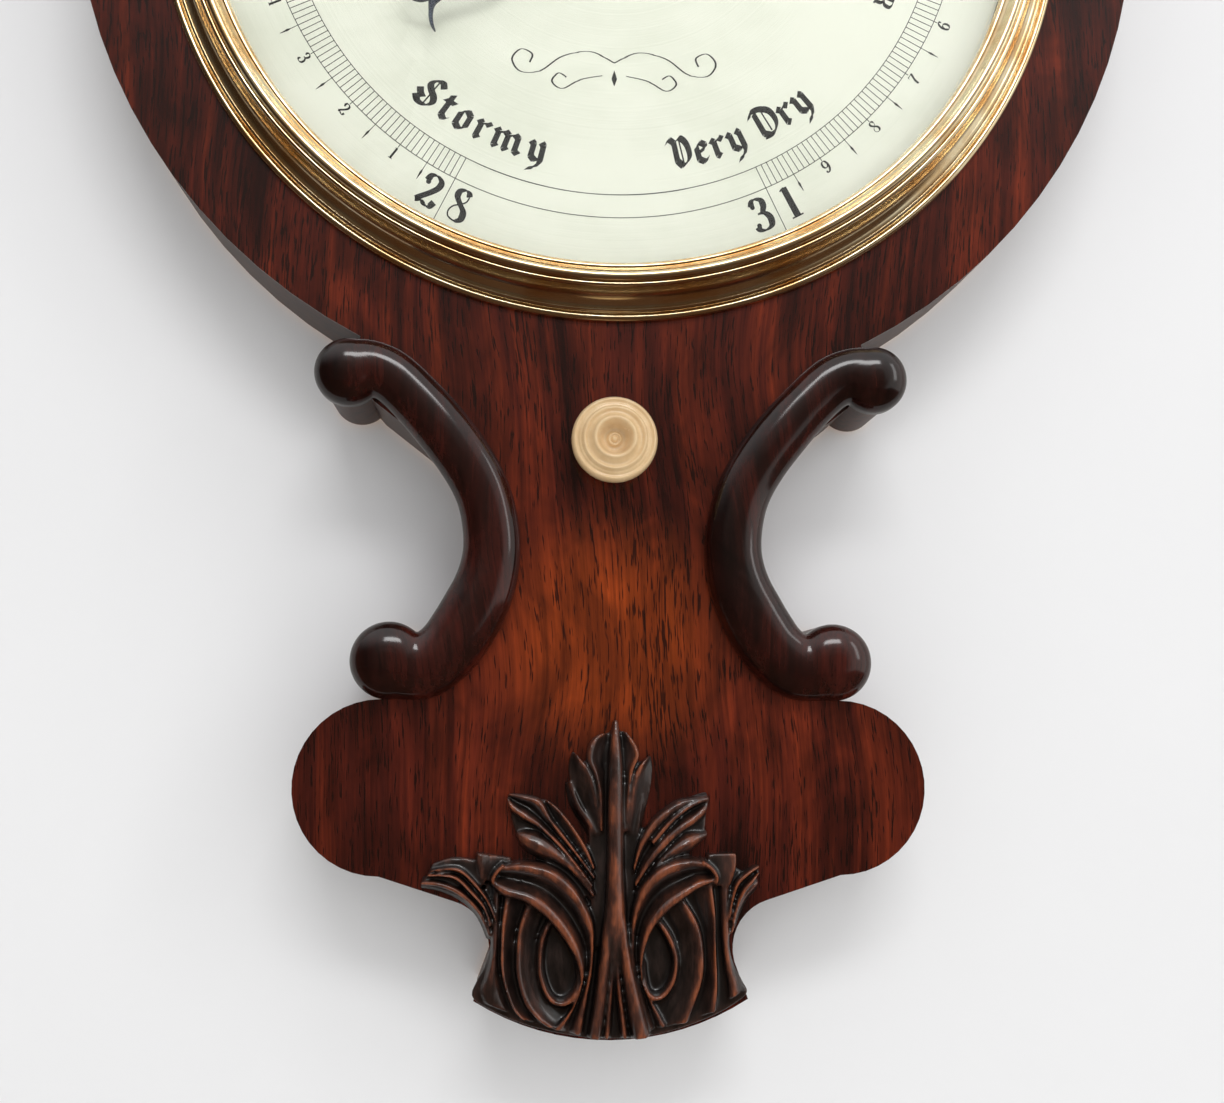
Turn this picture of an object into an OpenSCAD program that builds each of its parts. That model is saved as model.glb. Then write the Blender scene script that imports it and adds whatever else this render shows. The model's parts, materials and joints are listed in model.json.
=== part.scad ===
// Victorian wheel barometer in a banjo-shaped case, hung on a wall by a brass plate.
// X runs to the right, Y from the front to the wall and Z up, in millimetres.
// The origin is the centre of the hanging hole, on the wall plane.
// Depths are counted from the wall towards the viewer, and heights from the dial's centre.

/* [Case] */
// Radius of the round part of the case
case_r = 135; // [130:1:145]
// Depth of the carcass, from the wall to the back of the veneer
carcass_d = 29; // [28.5:0.5:34]
// Thickness of the face veneer
veneer_t = 1; // [0.6:0.1:1.6]
// Wood left between the cavity and the veneer
board_t = 7; // [6:0.5:7.5]
// Width of the neck above the shoulders
neck_low_w = 70; // [66:1:80]
// Width of the neck below the crest
neck_top_w = 64; // [62:1:74]
// Radius of the hollow between a shoulder and the neck
neck_fillet_r = 20; // [16:1:24]

/* [Scroll mouldings] */
// Distance of the inner volutes from the middle of the case
volute_in_x = 64.5; // [60:0.5:68]
// Radius of the volutes beside the dial
volute_in_r = 8.2; // [7:0.1:9.5]
// Distance of the outer volutes from the middle of the case
volute_out_x = 53.2; // [50:0.2:57]
// Radius of the volutes at the tail and the neck
volute_out_r = 9.4; // [8:0.1:10.5]
// How far the inner volutes lie inside the edge of the round case
volute_inset = 6.2; // [4:0.2:9]
// Distance along the case between a scroll's two volutes
scroll_span = 69.7; // [64:0.5:74]
// Radius of the hollow side of a scroll
hollow_r = 30; // [27:0.5:32]
// Distance of the hollow's centre from the middle of the case
hollow_x = 65.5; // [63:0.5:68]
// Distance of the hollow's centre from the inner volute, along the case
hollow_drop = 40.7; // [38:0.5:43]
// Distance of the scrolls' bellies from the middle of the case
belly_x = 22.4; // [20:0.2:25]
// Height of a scroll's ridge above the veneer
scroll_h = 9; // [6:0.5:12]
// How far a scroll overhangs the edge of the case
scroll_overhang = 0.8; // [0.4:0.1:1.5]

/* [Tail and crest] */
// Distance from the outer volutes down to the foot
foot_drop = 89.2; // [84:0.2:96]
// Height of the ears above the foot
ear_rise = 58.7; // [55:0.5:62]
// Distance of the tail's ears from the middle
tail_ear_x = 55; // [50:0.5:60]
// Radius of the tail's ears
tail_ear_r = 20.8; // [18:0.2:23]
// Distance of the crest's ears from the middle
crest_ear_x = 40; // [36:0.5:46]
// Radius of the crest's ears
crest_ear_r = 16; // [14:0.5:19]
// Half the width of the foot at its waist
foot_waist = 28.8; // [27:0.2:32]
// Half the width of the foot at its lower corners
foot_corner = 32.4; // [30:0.2:36]
// Height of the corners above the lowest point of the foot
foot_sag = 9.2; // [6:0.2:12]
// Radius of the hollow above the foot
foot_fillet_r = 11.7; // [9:0.2:14]
// Length of the carved leaf
leaf_l = 75; // [70:1:80]
// Height of the carved leaf's midrib above the veneer
leaf_h = 8; // [6:0.5:10]

/* [Dial] */
// How far the silvered dial plate reaches under the bezel
dial_lap = 3.8; // [3:0.1:4.8]
// Thickness of the dial plate
dial_t = 1.5; // [1:0.1:2]
// Distance of the dial screws from the plate's edge
dial_screw_in = 2.1; // [1.9:0.1:2.4]
// Lowest reading of the scale, in inches of mercury
scale_low = 28; // [27:0.5:28.5]
// Highest reading of the scale, in inches of mercury
scale_high = 31; // [30.5:0.5:32]
// Angle of the whole scale, in degrees
scale_sweep = 308.5; // [290:0.5:330]
// Reading shown at rest, in inches of mercury
reading = 29.94; // [29:0.01:30.4]
// Reading that the set hand remembers
reading_set = 29.8; // [28.5:0.01:30.4]

/* [Bezel and glass] */
// Width of wood between the bezel and the edge of the round case
rim_w = 19.5; // [16:0.5:24]
// Width of the bezel, from its outer edge to the dial in sight
bezel_w = 13.3; // [12.5:0.1:15]
// Height of the bezel above the veneer
bezel_h = 10; // [9.5:0.5:13]
// Thickness of the glass
glass_t = 2; // [1.5:0.1:2.5]
// Rise of the domed glass above its rim
glass_rise = 11; // [9.5:0.5:14]
// Length of the bezel's hinge
bezel_hinge_l = 28; // [20:1:36]

/* [Hands] */
// Distance of the indicator hand's point from the bezel
hand_margin = 23.2; // [20:0.2:32]
// Distance of its tail from the bezel
hand_tail_margin = 39.2; // [34:0.2:52]
// Distance of the set hand's point from the bezel
set_hand_margin = 28.2; // [22:0.2:36]
// Thickness of the hands
hand_t = 0.8; // [0.6:0.1:1]
// Gap between the dial, the set hand and the indicator hand
hand_gap = 2.2; // [1.8:0.1:2.4]

/* [Setting knob] */
// Distance of the knob below the round case
knob_drop = 11; // [9:0.5:15]
// Radius of the knob
knob_r = 10.4; // [9:0.1:12]
// Height of the knob above the veneer
knob_h = 11; // [8:0.5:14]
// Radius of the knob's spindle
knob_spindle_r = 2; // [1.6:0.1:2.4]

/* [Movement] */
// Radius of the indicator's arbor
arbor_r = 1.5; // [1.2:0.1:1.7]
// Outer radius of the pipe that carries the set hand
pipe_r = 3; // [2.6:0.1:3.4]
// Radius of the set-hand pulleys at the cord's middle
cord_wheel_r = 9; // [7.5:0.1:9.4]
// Radius of the cord between the set-hand pulleys
cord_r = 0.5; // [0.4:0.05:0.6]
// Thickness of the set-hand pulleys
cord_wheel_t = 2.5; // [2.2:0.1:2.6]
// Thickness of the thread pulley
thread_wheel_t = 3; // [2.4:0.1:3.4]
// Radius of the silk threads
thread_r = 0.25; // [0.2:0.05:0.3]
// Thickness of the arbor bridge
bridge_t = 1.5; // [1.2:0.1:1.8]

/* [Siphon tube] */
// Outer radius of the glass tube
tube_r = 4; // [3.6:0.1:4.2]
// Radius of the tube's bore
tube_bore_r = 3; // [2.8:0.1:3.1]
// Distance of the long limb from the middle
long_limb_x = 16; // [15.5:0.1:17]
// Height of the bend's centre above the foot
bend_rise = 51.7; // [49:0.5:56]
// Height of the mercury in the short limb above the bend's centre, at rest
level_rise = 46; // [42:0.5:50]
// Empty length of the long limb above the mercury, at rest
vacuum_l = 40; // [30:1:50]
// Length of the float
float_l = 14; // [10:0.5:18]
// Radius of the float
float_r = 2.2; // [1.8:0.1:2.4]
// Length of the counterweight
counter_l = 10; // [7:0.5:12]
// Radius of the counterweight
counter_r = 1.8; // [1.5:0.1:2]
// Outer radius of the counterweight's guide tube
guide_r = 3.2; // [2.9:0.1:3.4]

/* [Thermometer] */
// Width of the thermometer's frame
thermo_w = 50; // [46:1:54]
// Height of the thermometer's frame
thermo_h = 250; // [220:2:280]
// Width of the frame's moulding
thermo_rail = 7; // [5:0.5:8]
// Height of the frame above its pane
thermo_lip = 1.5; // [1:0.1:2.5]
// Radius of the thermometer's bulb
bulb_r = 2.7; // [2.3:0.1:3.2]
// Radius of the thermometer's stem
stem_r = 1.7; // [1.5:0.1:2.1]

/* [Back] */
// Width of the back door
door_w = 116; // [108:1:124]
// Height of the back door
door_h = 162; // [150:1:172]
// Thickness of the back door
door_t = 5; // [4:0.5:5.5]
// How far the back door lies below the wall plane
door_recess = 3; // [2.8:0.1:3.2]
// Width of the ledge that the door closes on
door_ledge = 8; // [6:0.5:10]
// Thickness of the strips over the tube's channel
cover_t = 4; // [3:0.5:5]
// Length of each of the door's hinges
door_hinge_l = 24; // [20:1:30]
// Length of the turn button
button_l = 22; // [19:1:24]

/* [Hanger] */
// Height of the hanging hole above the crest
hang_rise = 6; // [4:0.5:10]
// Radius of the hanging hole
hang_hole_r = 4; // [3:0.25:5]
// Radius of the plate's round head
hang_head_r = 11; // [9:0.5:13]
// Thickness of the hanging plate
hang_plate_t = 2; // [1.5:0.25:2.5]

/* [Fits] */
// Radial clearance of a running fit
run_fit = 0.05; // [0.02:0.01:0.1]
// Clearance between pieces that move past each other
free_gap = 0.4; // [0.3:0.05:0.5]
// Clearance of a piece that is let into its seat
seat_gap = 0.1; // [0.05:0.05:0.2]

/* [Hidden] */
$fn = 64;

// Millimetres in an inch of mercury
inch = 25.4;

// Radii of the bezel, of the dial in sight, of the dial plate and of its circle of screws
bezel_r = case_r - rim_w;
sight_r = bezel_r - bezel_w;
dial_r = sight_r + dial_lap;
dial_screw_pcd_r = dial_r - dial_screw_in;

// Lengths of the hands from the dial's centre
hand_l = sight_r - hand_margin;
hand_tail_l = sight_r - hand_tail_margin;
set_hand_l = sight_r - set_hand_margin;

// Depths from the wall, and one that lies beyond the whole part
front_d = carcass_d + veneer_t;
beyond = 3 * front_d;
board_back = carcass_d - board_t;
door_front = door_recess + door_t;
dial_front = carcass_d + dial_t;
wheel_clear = 0.5;
cord_wheel_d1 = board_back - wheel_clear;
cord_wheel_d0 = cord_wheel_d1 - cord_wheel_t;
cord_d = (cord_wheel_d0 + cord_wheel_d1) / 2;
tube_d = cord_wheel_d0 - wheel_clear - tube_r;
thread_wheel_d0 = tube_d - thread_wheel_t / 2;
thread_wheel_d1 = tube_d + thread_wheel_t / 2;
bridge_clear = 1.2;
bridge_d1 = thread_wheel_d0 - bridge_clear;
bridge_d0 = bridge_d1 - bridge_t;
set_hand_d = dial_front + hand_gap;
hand_d = set_hand_d + hand_t + hand_gap;
pipe_nose = 0.4;
collet_l = 1.8;
collet_nose = 1;
collet_r = arbor_r + 1;
arbor_d1 = hand_d + hand_t + collet_l;
arbor_tail = 0.4;

// How far the bellies' widest point lies beyond the hollows' centre
belly_drop = 5.5;

// Heights from the dial's centre
volute_in_z = case_r - volute_inset;
volute_out_z = volute_in_z + scroll_span;
hollow_z = volute_in_z + hollow_drop;
belly_z = hollow_z + belly_drop;
foot_z = -volute_out_z - foot_drop;
knob_z = -case_r - knob_drop;
bend_z = foot_z + bend_rise;
level_z = bend_z + level_rise;
long_level_z = level_z + reading * inch;
tube_top = long_level_z + vacuum_l;
head_room = 44.5;
top_z = tube_top + head_room;
dial_z = -(top_z + hang_rise);

// Belly of a scroll, as two arcs that meet at its widest point
belly_in_r = 54.6;
belly_out_r = 34;
// Angles at which the hollow side of a scroll runs out straight and meets the outer volute
lip_angle = 128;
hollow_end = 229;
// Length of the straight run up to the cusp beside the inner volute
lip_l = 15.5;
// Angle at which the belly turns to the crown of the inner volute
belly_turn = 135;

// The thread pulley turns by the scale's sweep while the float moves by half the range
travel_l = (scale_high - scale_low) * inch / 2;
thread_line_r = travel_l / (scale_sweep * PI / 180);
degree_per_inch = scale_sweep / (scale_high - scale_low);
middle_reading = (scale_low + scale_high) / 2;
hand_angle = (reading - middle_reading) * degree_per_inch;
set_angle = (reading_set - middle_reading) * degree_per_inch;
float_up = (reading - scale_low) * inch / 2;
float_down = (scale_high - reading) * inch / 2;

// Siphon tube and the pieces in it
bend_r = (long_limb_x + thread_line_r) / 2;
bend_x = (thread_line_r - long_limb_x) / 2;
short_top = level_z + float_up + float_l + 36;
tube_wall_end = 2;
float_z = level_z + free_gap;
counter_z = -95;
guide_spare = 16;
guide_z = counter_z - float_up - guide_spare;
guide_l = counter_l + float_up + float_down + 2 * guide_spare;

// Screws, as radius of the shank, length and radius of the head
small_screw = [0.9, 6, 1.7];
cover_screw = [1.1, 8, 2.1];
wood_screw = [1.4, 9, 2.8];

// Channels and the cavity behind the dial
channel_side = 7;
channel_x0 = -long_limb_x - channel_side;
channel_x1 = thread_line_r + channel_side;
channel_bottom = bend_z - bend_r - tube_r - 2;
neck_channel_w = 13;
cover_lap = 2 * (cover_screw[2] + free_gap);
cover_margin = 4;
door_mid = -15;
cavity_w = door_w - 2 * door_ledge;
cavity_h = door_h - 2 * door_ledge;
neck_channel_top = tube_top + 3;

// Brass hinges
hinge_leaf_t = 1.2;
knuckle_r = 1.3;
pin_r = 0.7;
door_axis_x = -door_w / 2;
door_axis_d = 1.5;
door_leaf_w = 14;
door_hinge_inset = 31;
door_hinge_z = [for (s = [-1, 1]) door_mid + s * (door_h / 2 - door_hinge_inset)];
bezel_knuckle_r = 2;
bezel_pin_r = 1;
bezel_axis_x = bezel_r + 2.6;
bezel_axis_d = front_d + 3;
bezel_leaf_w = 10;

// Turn button
button_w = 7;
button_t = 1.7;
button_d = 1;
button_x = door_w / 2 + 6;
button_pivot_r = 1.5;

// Colours
rosewood = "#5a2817";
dark_wood = "#38190f";
pine = "#a37b4e";
brass = "#b8944a";
silvered = "#d9dccf";
blue_steel = "#1c2331";
steel = "#8c9196";
bone = "#e3cda4";
glass = "#cfe0dc";
mercury = "#b9bec4";
silk = "#d8cfae";
cork = "#a9794a";

// Points along an arc from one angle to another
function arc(c, r, a0, a1, n = 12) =
  [for (i = [0:n]) c + r * [cos(a0 + (a1 - a0) * i / n), sin(a0 + (a1 - a0) * i / n)]];

// Points along a cubic curve with two handles
function cubic(p, q, r, s, n = 8) =
  [for (i = [0:n]) let (t = i / n, u = 1 - t)
    u * u * u * p + 3 * u * u * t * q + 3 * u * t * t * r + t * t * t * s];

// Points the other way round, upside down, and with their mirror image on the left
function reversed(p) = [for (i = [len(p) - 1:-1:0]) p[i]];
function upturned(p) = [for (q = p) [q[0], -q[1]]];
function whole(p) = concat(p, [for (q = reversed(p)) [-q[0], q[1]]]);

// The same points, running anticlockwise
function twice_area(p) =
  [for (i = [0:len(p) - 1]) cross(p[i], p[(i + 1) % len(p)])] * [for (q = p) 1];
function anticlockwise(p) = twice_area(p) < 0 ? reversed(p) : p;

// Places everything from the dial's centre
module at_dial() {
  translate([0, 0, dial_z]) children();
}

// A flat outline in X and Z made into a slab between two depths
module slab(d0, d1) {
  translate([0, -d0, 0]) rotate([90, 0, 0]) linear_extrude(height = d1 - d0) children();
}

// A profile of radius and depth, turned about a line from front to back
module turned(x = 0, z = 0) {
  translate([x, 0, z]) rotate([90, 0, 0]) rotate_extrude() children();
}

// A round rod or hole from one depth to another
module rod(r, d0, d1, x = 0, z = 0) {
  translate([x, 0, z]) slab(d0, d1) circle(r);
}

// A block given by its corners in X, depth and Z
module block(x0, x1, d0, d1, z0, z1) {
  translate([x0, -d1, z0]) cube([x1 - x0, d1 - d0, z1 - z0]);
}

// An upright rod
module post(r, x, d, z0, z1) {
  translate([x, -d, z0]) cylinder(r = r, h = z1 - z0);
}

// A slotted screw with a domed head on a surface at depth d; side 1 drives it towards the viewer
module screw(size, x, z, d, side) {
  head_h = size[2] * 0.5;
  slot_w = size[2] * 0.22;
  difference() {
    turned(x, z) polygon([
      [0, d - side * head_h], [size[2] * 0.55, d - side * head_h * 0.88],
      [size[2] * 0.9, d - side * head_h * 0.45], [size[2], d], [size[0], d],
      [size[0], d + side * size[1]], [0, d + side * size[1]]
    ]);
    translate([x, -(d - side * head_h), z]) cube([size[2] * 2.2, head_h * 0.9, slot_w], center = true);
  }
}

// The hole that such a screw needs
module screw_hole(size, x, z, d, side) {
  reach = size[1] + seat_gap;
  rod(size[0] + seat_gap / 2, min(d, d + side * reach), max(d, d + side * reach), x, z);
}

// Outline of one scroll, drawn in by an inset; the belly faces the middle of the case
module scroll_2d(inset) {
  in_c = [volute_in_x, -volute_in_z];
  out_c = [volute_out_x, -volute_out_z];
  hollow_c = [hollow_x, -hollow_z];
  belly_in_c = [belly_x + belly_in_r, -belly_z];
  belly_out_c = [belly_x + belly_out_r, -belly_z];
  crown = in_c + [0, volute_in_r - inset];
  neck = belly_in_c + (belly_in_r - inset) * [cos(belly_turn), sin(belly_turn)];
  lip = hollow_c + (hollow_r + inset) * [cos(lip_angle), sin(lip_angle)];
  polygon(concat(
    cubic(crown, crown - [10, 0], neck + [8.4, 8.4], neck),
    arc(belly_in_c, belly_in_r - inset, belly_turn + 6, 180, 6),
    arc(belly_out_c, belly_out_r - inset, 186, 258, 10),
    [out_c],
    arc(hollow_c, hollow_r + inset, hollow_end, lip_angle, 14),
    [lip + lip_l * [sin(lip_angle), -cos(lip_angle)], in_c]
  ));
  translate(in_c) circle(volute_in_r - inset);
  translate(out_c) circle(volute_out_r - inset);
}

// One scroll moulding of rounded section, in four steps
module scroll() {
  steps = [[0, 0.3], [0.7, 0.55], [1.9, 0.8], [3.6, 1]];
  for (s = steps) slab(front_d, front_d + scroll_h * s[1]) scroll_2d(s[0]);
}

// Right-hand side of the case between the scrolls below the dial, from the top down
function waist_side(end_z) =
  let (
    in_c = [volute_in_x, -volute_in_z],
    out_c = [volute_out_x, -volute_out_z],
    edge_r = hollow_r + scroll_overhang,
    hollow_c = [hollow_x, -hollow_z],
    lip = hollow_c + edge_r * [cos(lip_angle), sin(lip_angle)],
    lip_inner = lip_l - scroll_overhang
  )
  concat(
    [in_c + [-6, 20], in_c, lip + lip_inner * [sin(lip_angle), -cos(lip_angle)]],
    arc(hollow_c, edge_r, lip_angle, hollow_end, 14),
    [out_c, [volute_out_x, -end_z]]
  );

// Right-hand side of the tail, from the top of its ear down to its lowest point
function tail_side(ear_x, ear_r) =
  let (
    fillet_c = [foot_waist + foot_fillet_r, foot_sag + foot_fillet_r],
    sole_r = (foot_corner * foot_corner + foot_sag * foot_sag) / (2 * foot_sag),
    corner_a = asin(foot_corner / sole_r)
  )
  concat(
    [[ear_x, ear_rise + ear_r], [ear_x, ear_rise - ear_r]],
    arc(fillet_c, foot_fillet_r, 106, 205, 10),
    arc([0, sole_r], sole_r, -90 + corner_a, -90 + corner_a / 8, 7),
    [[0, 0]]
  );

// Right-hand side of the neck, from the shoulder up
function neck_side() =
  let (
    low = neck_low_w / 2,
    fillet_c = [low + neck_fillet_r, volute_out_z + volute_out_r + 0.7 * neck_fillet_r]
  )
  concat(
    [[volute_out_x, volute_out_z]],
    arc(fillet_c, neck_fillet_r, 250, 180, 8),
    [[neck_top_w / 2, top_z - ear_rise]]
  );

// An outline from its right-hand side
module both_halves(side) {
  polygon(anticlockwise(whole(side)));
}

// The tail standing on its lowest point, or the crest hanging from its highest
module tail_2d(ear_x, ear_r, up = 1) {
  both_halves(up > 0 ? tail_side(ear_x, ear_r) : upturned(tail_side(ear_x, ear_r)));
  for (s = [-1, 1]) translate([s * ear_x, up * ear_rise]) circle(ear_r);
}

// Outline of the whole case
module case_2d() {
  circle(case_r);
  both_halves(waist_side(-foot_z - ear_rise));
  both_halves(upturned(waist_side(volute_out_z + volute_out_r / 2)));
  for (s = [-1, 1], e = [-1, 1]) {
    translate([s * volute_in_x, e * volute_in_z]) circle(volute_in_r - scroll_overhang);
    translate([s * volute_out_x, e * volute_out_z]) circle(volute_out_r - scroll_overhang);
  }
  translate([0, foot_z]) tail_2d(tail_ear_x, tail_ear_r);
  both_halves(neck_side());
  translate([0, top_z]) tail_2d(crest_ear_x, crest_ear_r, -1);
}

// Rectangles of the cover strips, as left, right, bottom and top
lower_strip = [
  channel_x0 - cover_lap, channel_x1 + cover_lap,
  channel_bottom - cover_margin, door_mid - door_h / 2 - cover_margin
];
neck_strip = [
  -long_limb_x - neck_channel_w / 2 - cover_lap, -long_limb_x + neck_channel_w / 2 + cover_lap,
  door_mid + door_h / 2 + cover_margin, neck_channel_top + cover_margin
];
hang_plate_low = 24;

// Screws of a cover strip stand in its left and right laps by turns
function strip_screws(s, n) = [
  for (i = [0:n - 1]) [
    i % 2 == 0 ? s[0] + cover_lap / 2 : s[1] - cover_lap / 2,
    s[2] + 8 + (s[3] - s[2] - 16) * i / (n - 1)
  ]
];
cover_screw_places = concat(strip_screws(lower_strip, 4), strip_screws(neck_strip, 6));

// Pine carcass, hollowed from the back
module case_body() {
  color(pine) at_dial() difference() {
    slab(0, carcass_d) case_2d();
    block(-door_w / 2, door_w / 2, -1, door_front, door_mid - door_h / 2, door_mid + door_h / 2);
    block(-cavity_w / 2, cavity_w / 2, -1, board_back, door_mid - cavity_h / 2, door_mid + cavity_h / 2);
    block(channel_x0, channel_x1, -1, board_back, channel_bottom, door_mid);
    block(lower_strip[0], lower_strip[1], -1, cover_t, lower_strip[2], lower_strip[3]);
    block(-long_limb_x - neck_channel_w / 2, -long_limb_x + neck_channel_w / 2, -1, board_back,
      door_mid, neck_channel_top);
    block(neck_strip[0], neck_strip[1], -1, cover_t, neck_strip[2], neck_strip[3]);
    for (p = cover_screw_places) screw_hole(cover_screw, p[0], p[1], cover_t, 1);
    for (z = door_hinge_z) block(door_axis_x - door_leaf_w - seat_gap, door_axis_x + 1, -1,
      door_recess, z - door_hinge_l / 2 - seat_gap, z + door_hinge_l / 2 + seat_gap);
    rod(button_l / 2 + 2, -1, door_recess, button_x, door_mid);
    screw_hole([button_pivot_r, wood_screw[1]], button_x, door_mid, door_recess, 1);
    block(-hang_head_r - seat_gap, hang_head_r + seat_gap, -1, hang_plate_t,
      top_z - hang_plate_low - seat_gap, top_z + 1);
    for (z = hang_screw_z) screw_hole(wood_screw, 0, z, hang_plate_t, 1);
    rod(bush_r(pipe_r), board_back - 1, front_d);
    rod(bush_r(knob_spindle_r), board_back - 1, front_d, 0, knob_z);
    for (p = bridge_screw_places) screw_hole(small_screw, p[0], p[1], board_back, 1);
    for (a = dial_screw_angles)
      screw_hole(small_screw, dial_screw_pcd_r * sin(a), dial_screw_pcd_r * cos(a), carcass_d, -1);
    for (z = bezel_screw_z) screw_hole(small_screw, bezel_screw_x, z, front_d, -1);
  }
}

// Sawn veneer on the face, open where the dial lies
module front_veneer() {
  color(rosewood) at_dial() difference() {
    slab(carcass_d, front_d) case_2d();
    rod(dial_r + seat_gap, carcass_d - 1, front_d + 1);
    rod(bush_r(knob_spindle_r), carcass_d - 1, front_d + 1, 0, knob_z);
    for (z = bezel_screw_z) screw_hole(small_screw, bezel_screw_x, z, front_d, -1);
  }
}

module lower_scroll_right() {
  color(dark_wood) at_dial() scroll();
}

module lower_scroll_left() {
  color(dark_wood) at_dial() mirror([1, 0, 0]) scroll();
}

module upper_scroll_right() {
  color(dark_wood) at_dial() mirror([0, 0, 1]) scroll();
}

module upper_scroll_left() {
  color(dark_wood) at_dial() mirror([0, 0, 1]) mirror([1, 0, 0]) scroll();
}

// One lobe of the carved leaf: a blade from a root to a tip that bulges to both sides
module blade_2d(p) {
  root = p[0];
  tip = p[1];
  polygon(anticlockwise(concat(
    cubic(root, root + p[2], tip + p[2], tip),
    cubic(tip, tip + p[3], root + p[3], root)
  )));
}

// Lobes of the carved acanthus leaf, each as height, root, tip and bulges; in shares of the leaf's size
leaf_lobes = [
  [0.55, [0.01, 0.59], [0.11, 0.89], [-0.04, 0.08], [0.09, -0.05]],
  [0.55, [0.03, 0.48], [0.29, 0.75], [-0.03, 0.12], [0.09, -0.04]],
  [0.55, [0.03, 0.4], [0.29, 0.61], [0, 0.12], [0.08, -0.05]],
  [0.9, [0.04, 0.16], [0.32, 0.52], [-0.01, 0.29], [0, 0.08]],
  [0.55, [0.27, 0.12], [0.49, 0.53], [-0.04, 0.19], [0.11, -0.11]],
  [0.7, [0.2, 0.05], [0.36, 0.51], [-0.11, 0.16], [0.05, -0.08]]
];
leaf_rib = [[0, 0.995], [0.021, 0.8], [0.032, 0.48], [0.027, 0.27], [0.064, 0.03], [0, 0.027]];
leaf_ground = [[0.4, 0], [0.4, 0.24], [0.29, 0.51], [0, 0.61]];
leaf_ground_h = 0.3;
leaf_foot_clear = 0.027;

// The leaf stands on the foot's lowest point
module leaf() {
  for (b = leaf_lobes) slab(front_d, front_d + leaf_h * b[0])
    for (s = [-1, 1]) blade_2d(leaf_l * [for (i = [1:4]) [s * b[i][0], b[i][1]]]);
  slab(front_d, front_d + leaf_h) both_halves(leaf_l * leaf_rib);
  slab(front_d, front_d + leaf_h * leaf_ground_h) intersection() {
    translate([0, leaf_l * leaf_foot_clear]) tail_2d(tail_ear_x, tail_ear_r);
    both_halves(leaf_l * leaf_ground);
  }
}

module base_leaf() {
  color(dark_wood) at_dial() translate([0, 0, foot_z]) leaf();
}

module crest_leaf() {
  color(dark_wood) at_dial() translate([0, 0, top_z]) mirror([0, 0, 1]) leaf();
}

// A strip let into the back over the tube's channel
module strip(s) {
  difference() {
    block(s[0] + seat_gap, s[1] - seat_gap, 0.2, cover_t, s[2] + seat_gap, s[3] - seat_gap);
    for (p = cover_screw_places) rod(cover_screw[0] + seat_gap, -1, cover_t + 1, p[0], p[1]);
    for (p = cover_screw_places) rod(cover_screw[2] + seat_gap, -1, cover_head_d, p[0], p[1]);
  }
}
cover_head_d = 2.2;

module lower_cover() {
  color(pine) at_dial() strip(lower_strip);
}

module neck_cover() {
  color(pine) at_dial() strip(neck_strip);
}

module cover_screws() {
  color(brass) at_dial() for (p = cover_screw_places) screw(cover_screw, p[0], p[1], cover_head_d, 1);
}

// Door behind the dial
module back_door() {
  gap = free_gap;
  color(pine) at_dial() block(-door_w / 2 + gap, door_w / 2 - gap, door_recess, door_front,
    door_mid - door_h / 2 + gap, door_mid + door_h / 2 - gap);
}

// Knuckles of one hinge: the outer two belong to the fixed leaf, the middle one to the moving leaf
module hinge_knuckles(x, d, z, l, r, hole_r, middle) {
  third = l / 3;
  gap = free_gap / 2;
  difference() {
    if (middle) post(r, x, d, z - third / 2 + gap, z + third / 2 - gap);
    else for (s = [-1, 1]) post(r, x, d, z + s * third - third / 2 + (s > 0 ? gap : 0),
      z + s * third + third / 2 - (s < 0 ? gap : 0));
    post(hole_r, x, d, z - l, z + l);
  }
}

module door_hinge_fixed() {
  color(brass) at_dial() for (z = door_hinge_z) {
    hinge_knuckles(door_axis_x, door_axis_d, z, door_hinge_l, knuckle_r, pin_r, false);
    difference() {
      block(door_axis_x - door_leaf_w, door_axis_x, door_recess - hinge_leaf_t, door_recess,
        z - door_hinge_l / 2, z + door_hinge_l / 2);
      block(door_axis_x - knuckle_r - free_gap, door_axis_x + 1, 0, beyond,
        z - door_hinge_l / 6 - free_gap, z + door_hinge_l / 6 + free_gap);
      post(pin_r, door_axis_x, door_axis_d, z - door_hinge_l, z + door_hinge_l);
    }
  }
}

module door_hinge_moving() {
  color(brass) at_dial() for (z = door_hinge_z) {
    hinge_knuckles(door_axis_x, door_axis_d, z, door_hinge_l, knuckle_r, pin_r + run_fit, true);
    difference() {
      block(door_axis_x, door_axis_x + door_leaf_w, door_recess - hinge_leaf_t, door_recess,
        z - door_hinge_l / 2, z + door_hinge_l / 2);
      for (s = [-1, 1]) block(door_axis_x - 1, door_axis_x + knuckle_r + free_gap, 0, carcass_d,
        z + s * door_hinge_l / 3 - door_hinge_l / 6 - free_gap,
        z + s * door_hinge_l / 3 + door_hinge_l / 6 + free_gap);
      post(pin_r + run_fit, door_axis_x, door_axis_d, z - door_hinge_l, z + door_hinge_l);
      block(door_axis_x - 1, door_axis_x + free_gap, door_axis_d + knuckle_r, carcass_d,
        z - door_hinge_l, z + door_hinge_l);
    }
  }
}

module door_hinge_pins() {
  color(steel) at_dial() for (z = door_hinge_z)
    post(pin_r, door_axis_x, door_axis_d, z - door_hinge_l / 2, z + door_hinge_l / 2);
}

// Brass turn button beside the door, turned clear of it at rest
module turn_button() {
  color(brass) at_dial() translate([button_x, 0, door_mid]) difference() {
    slab(button_d, button_d + button_t) {
      square([button_w, button_l - button_w], center = true);
      for (s = [-1, 1]) translate([0, s * (button_l - button_w) / 2]) circle(button_w / 2);
    }
    rod(button_pivot_r + run_fit, 0, carcass_d);
  }
}

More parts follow.
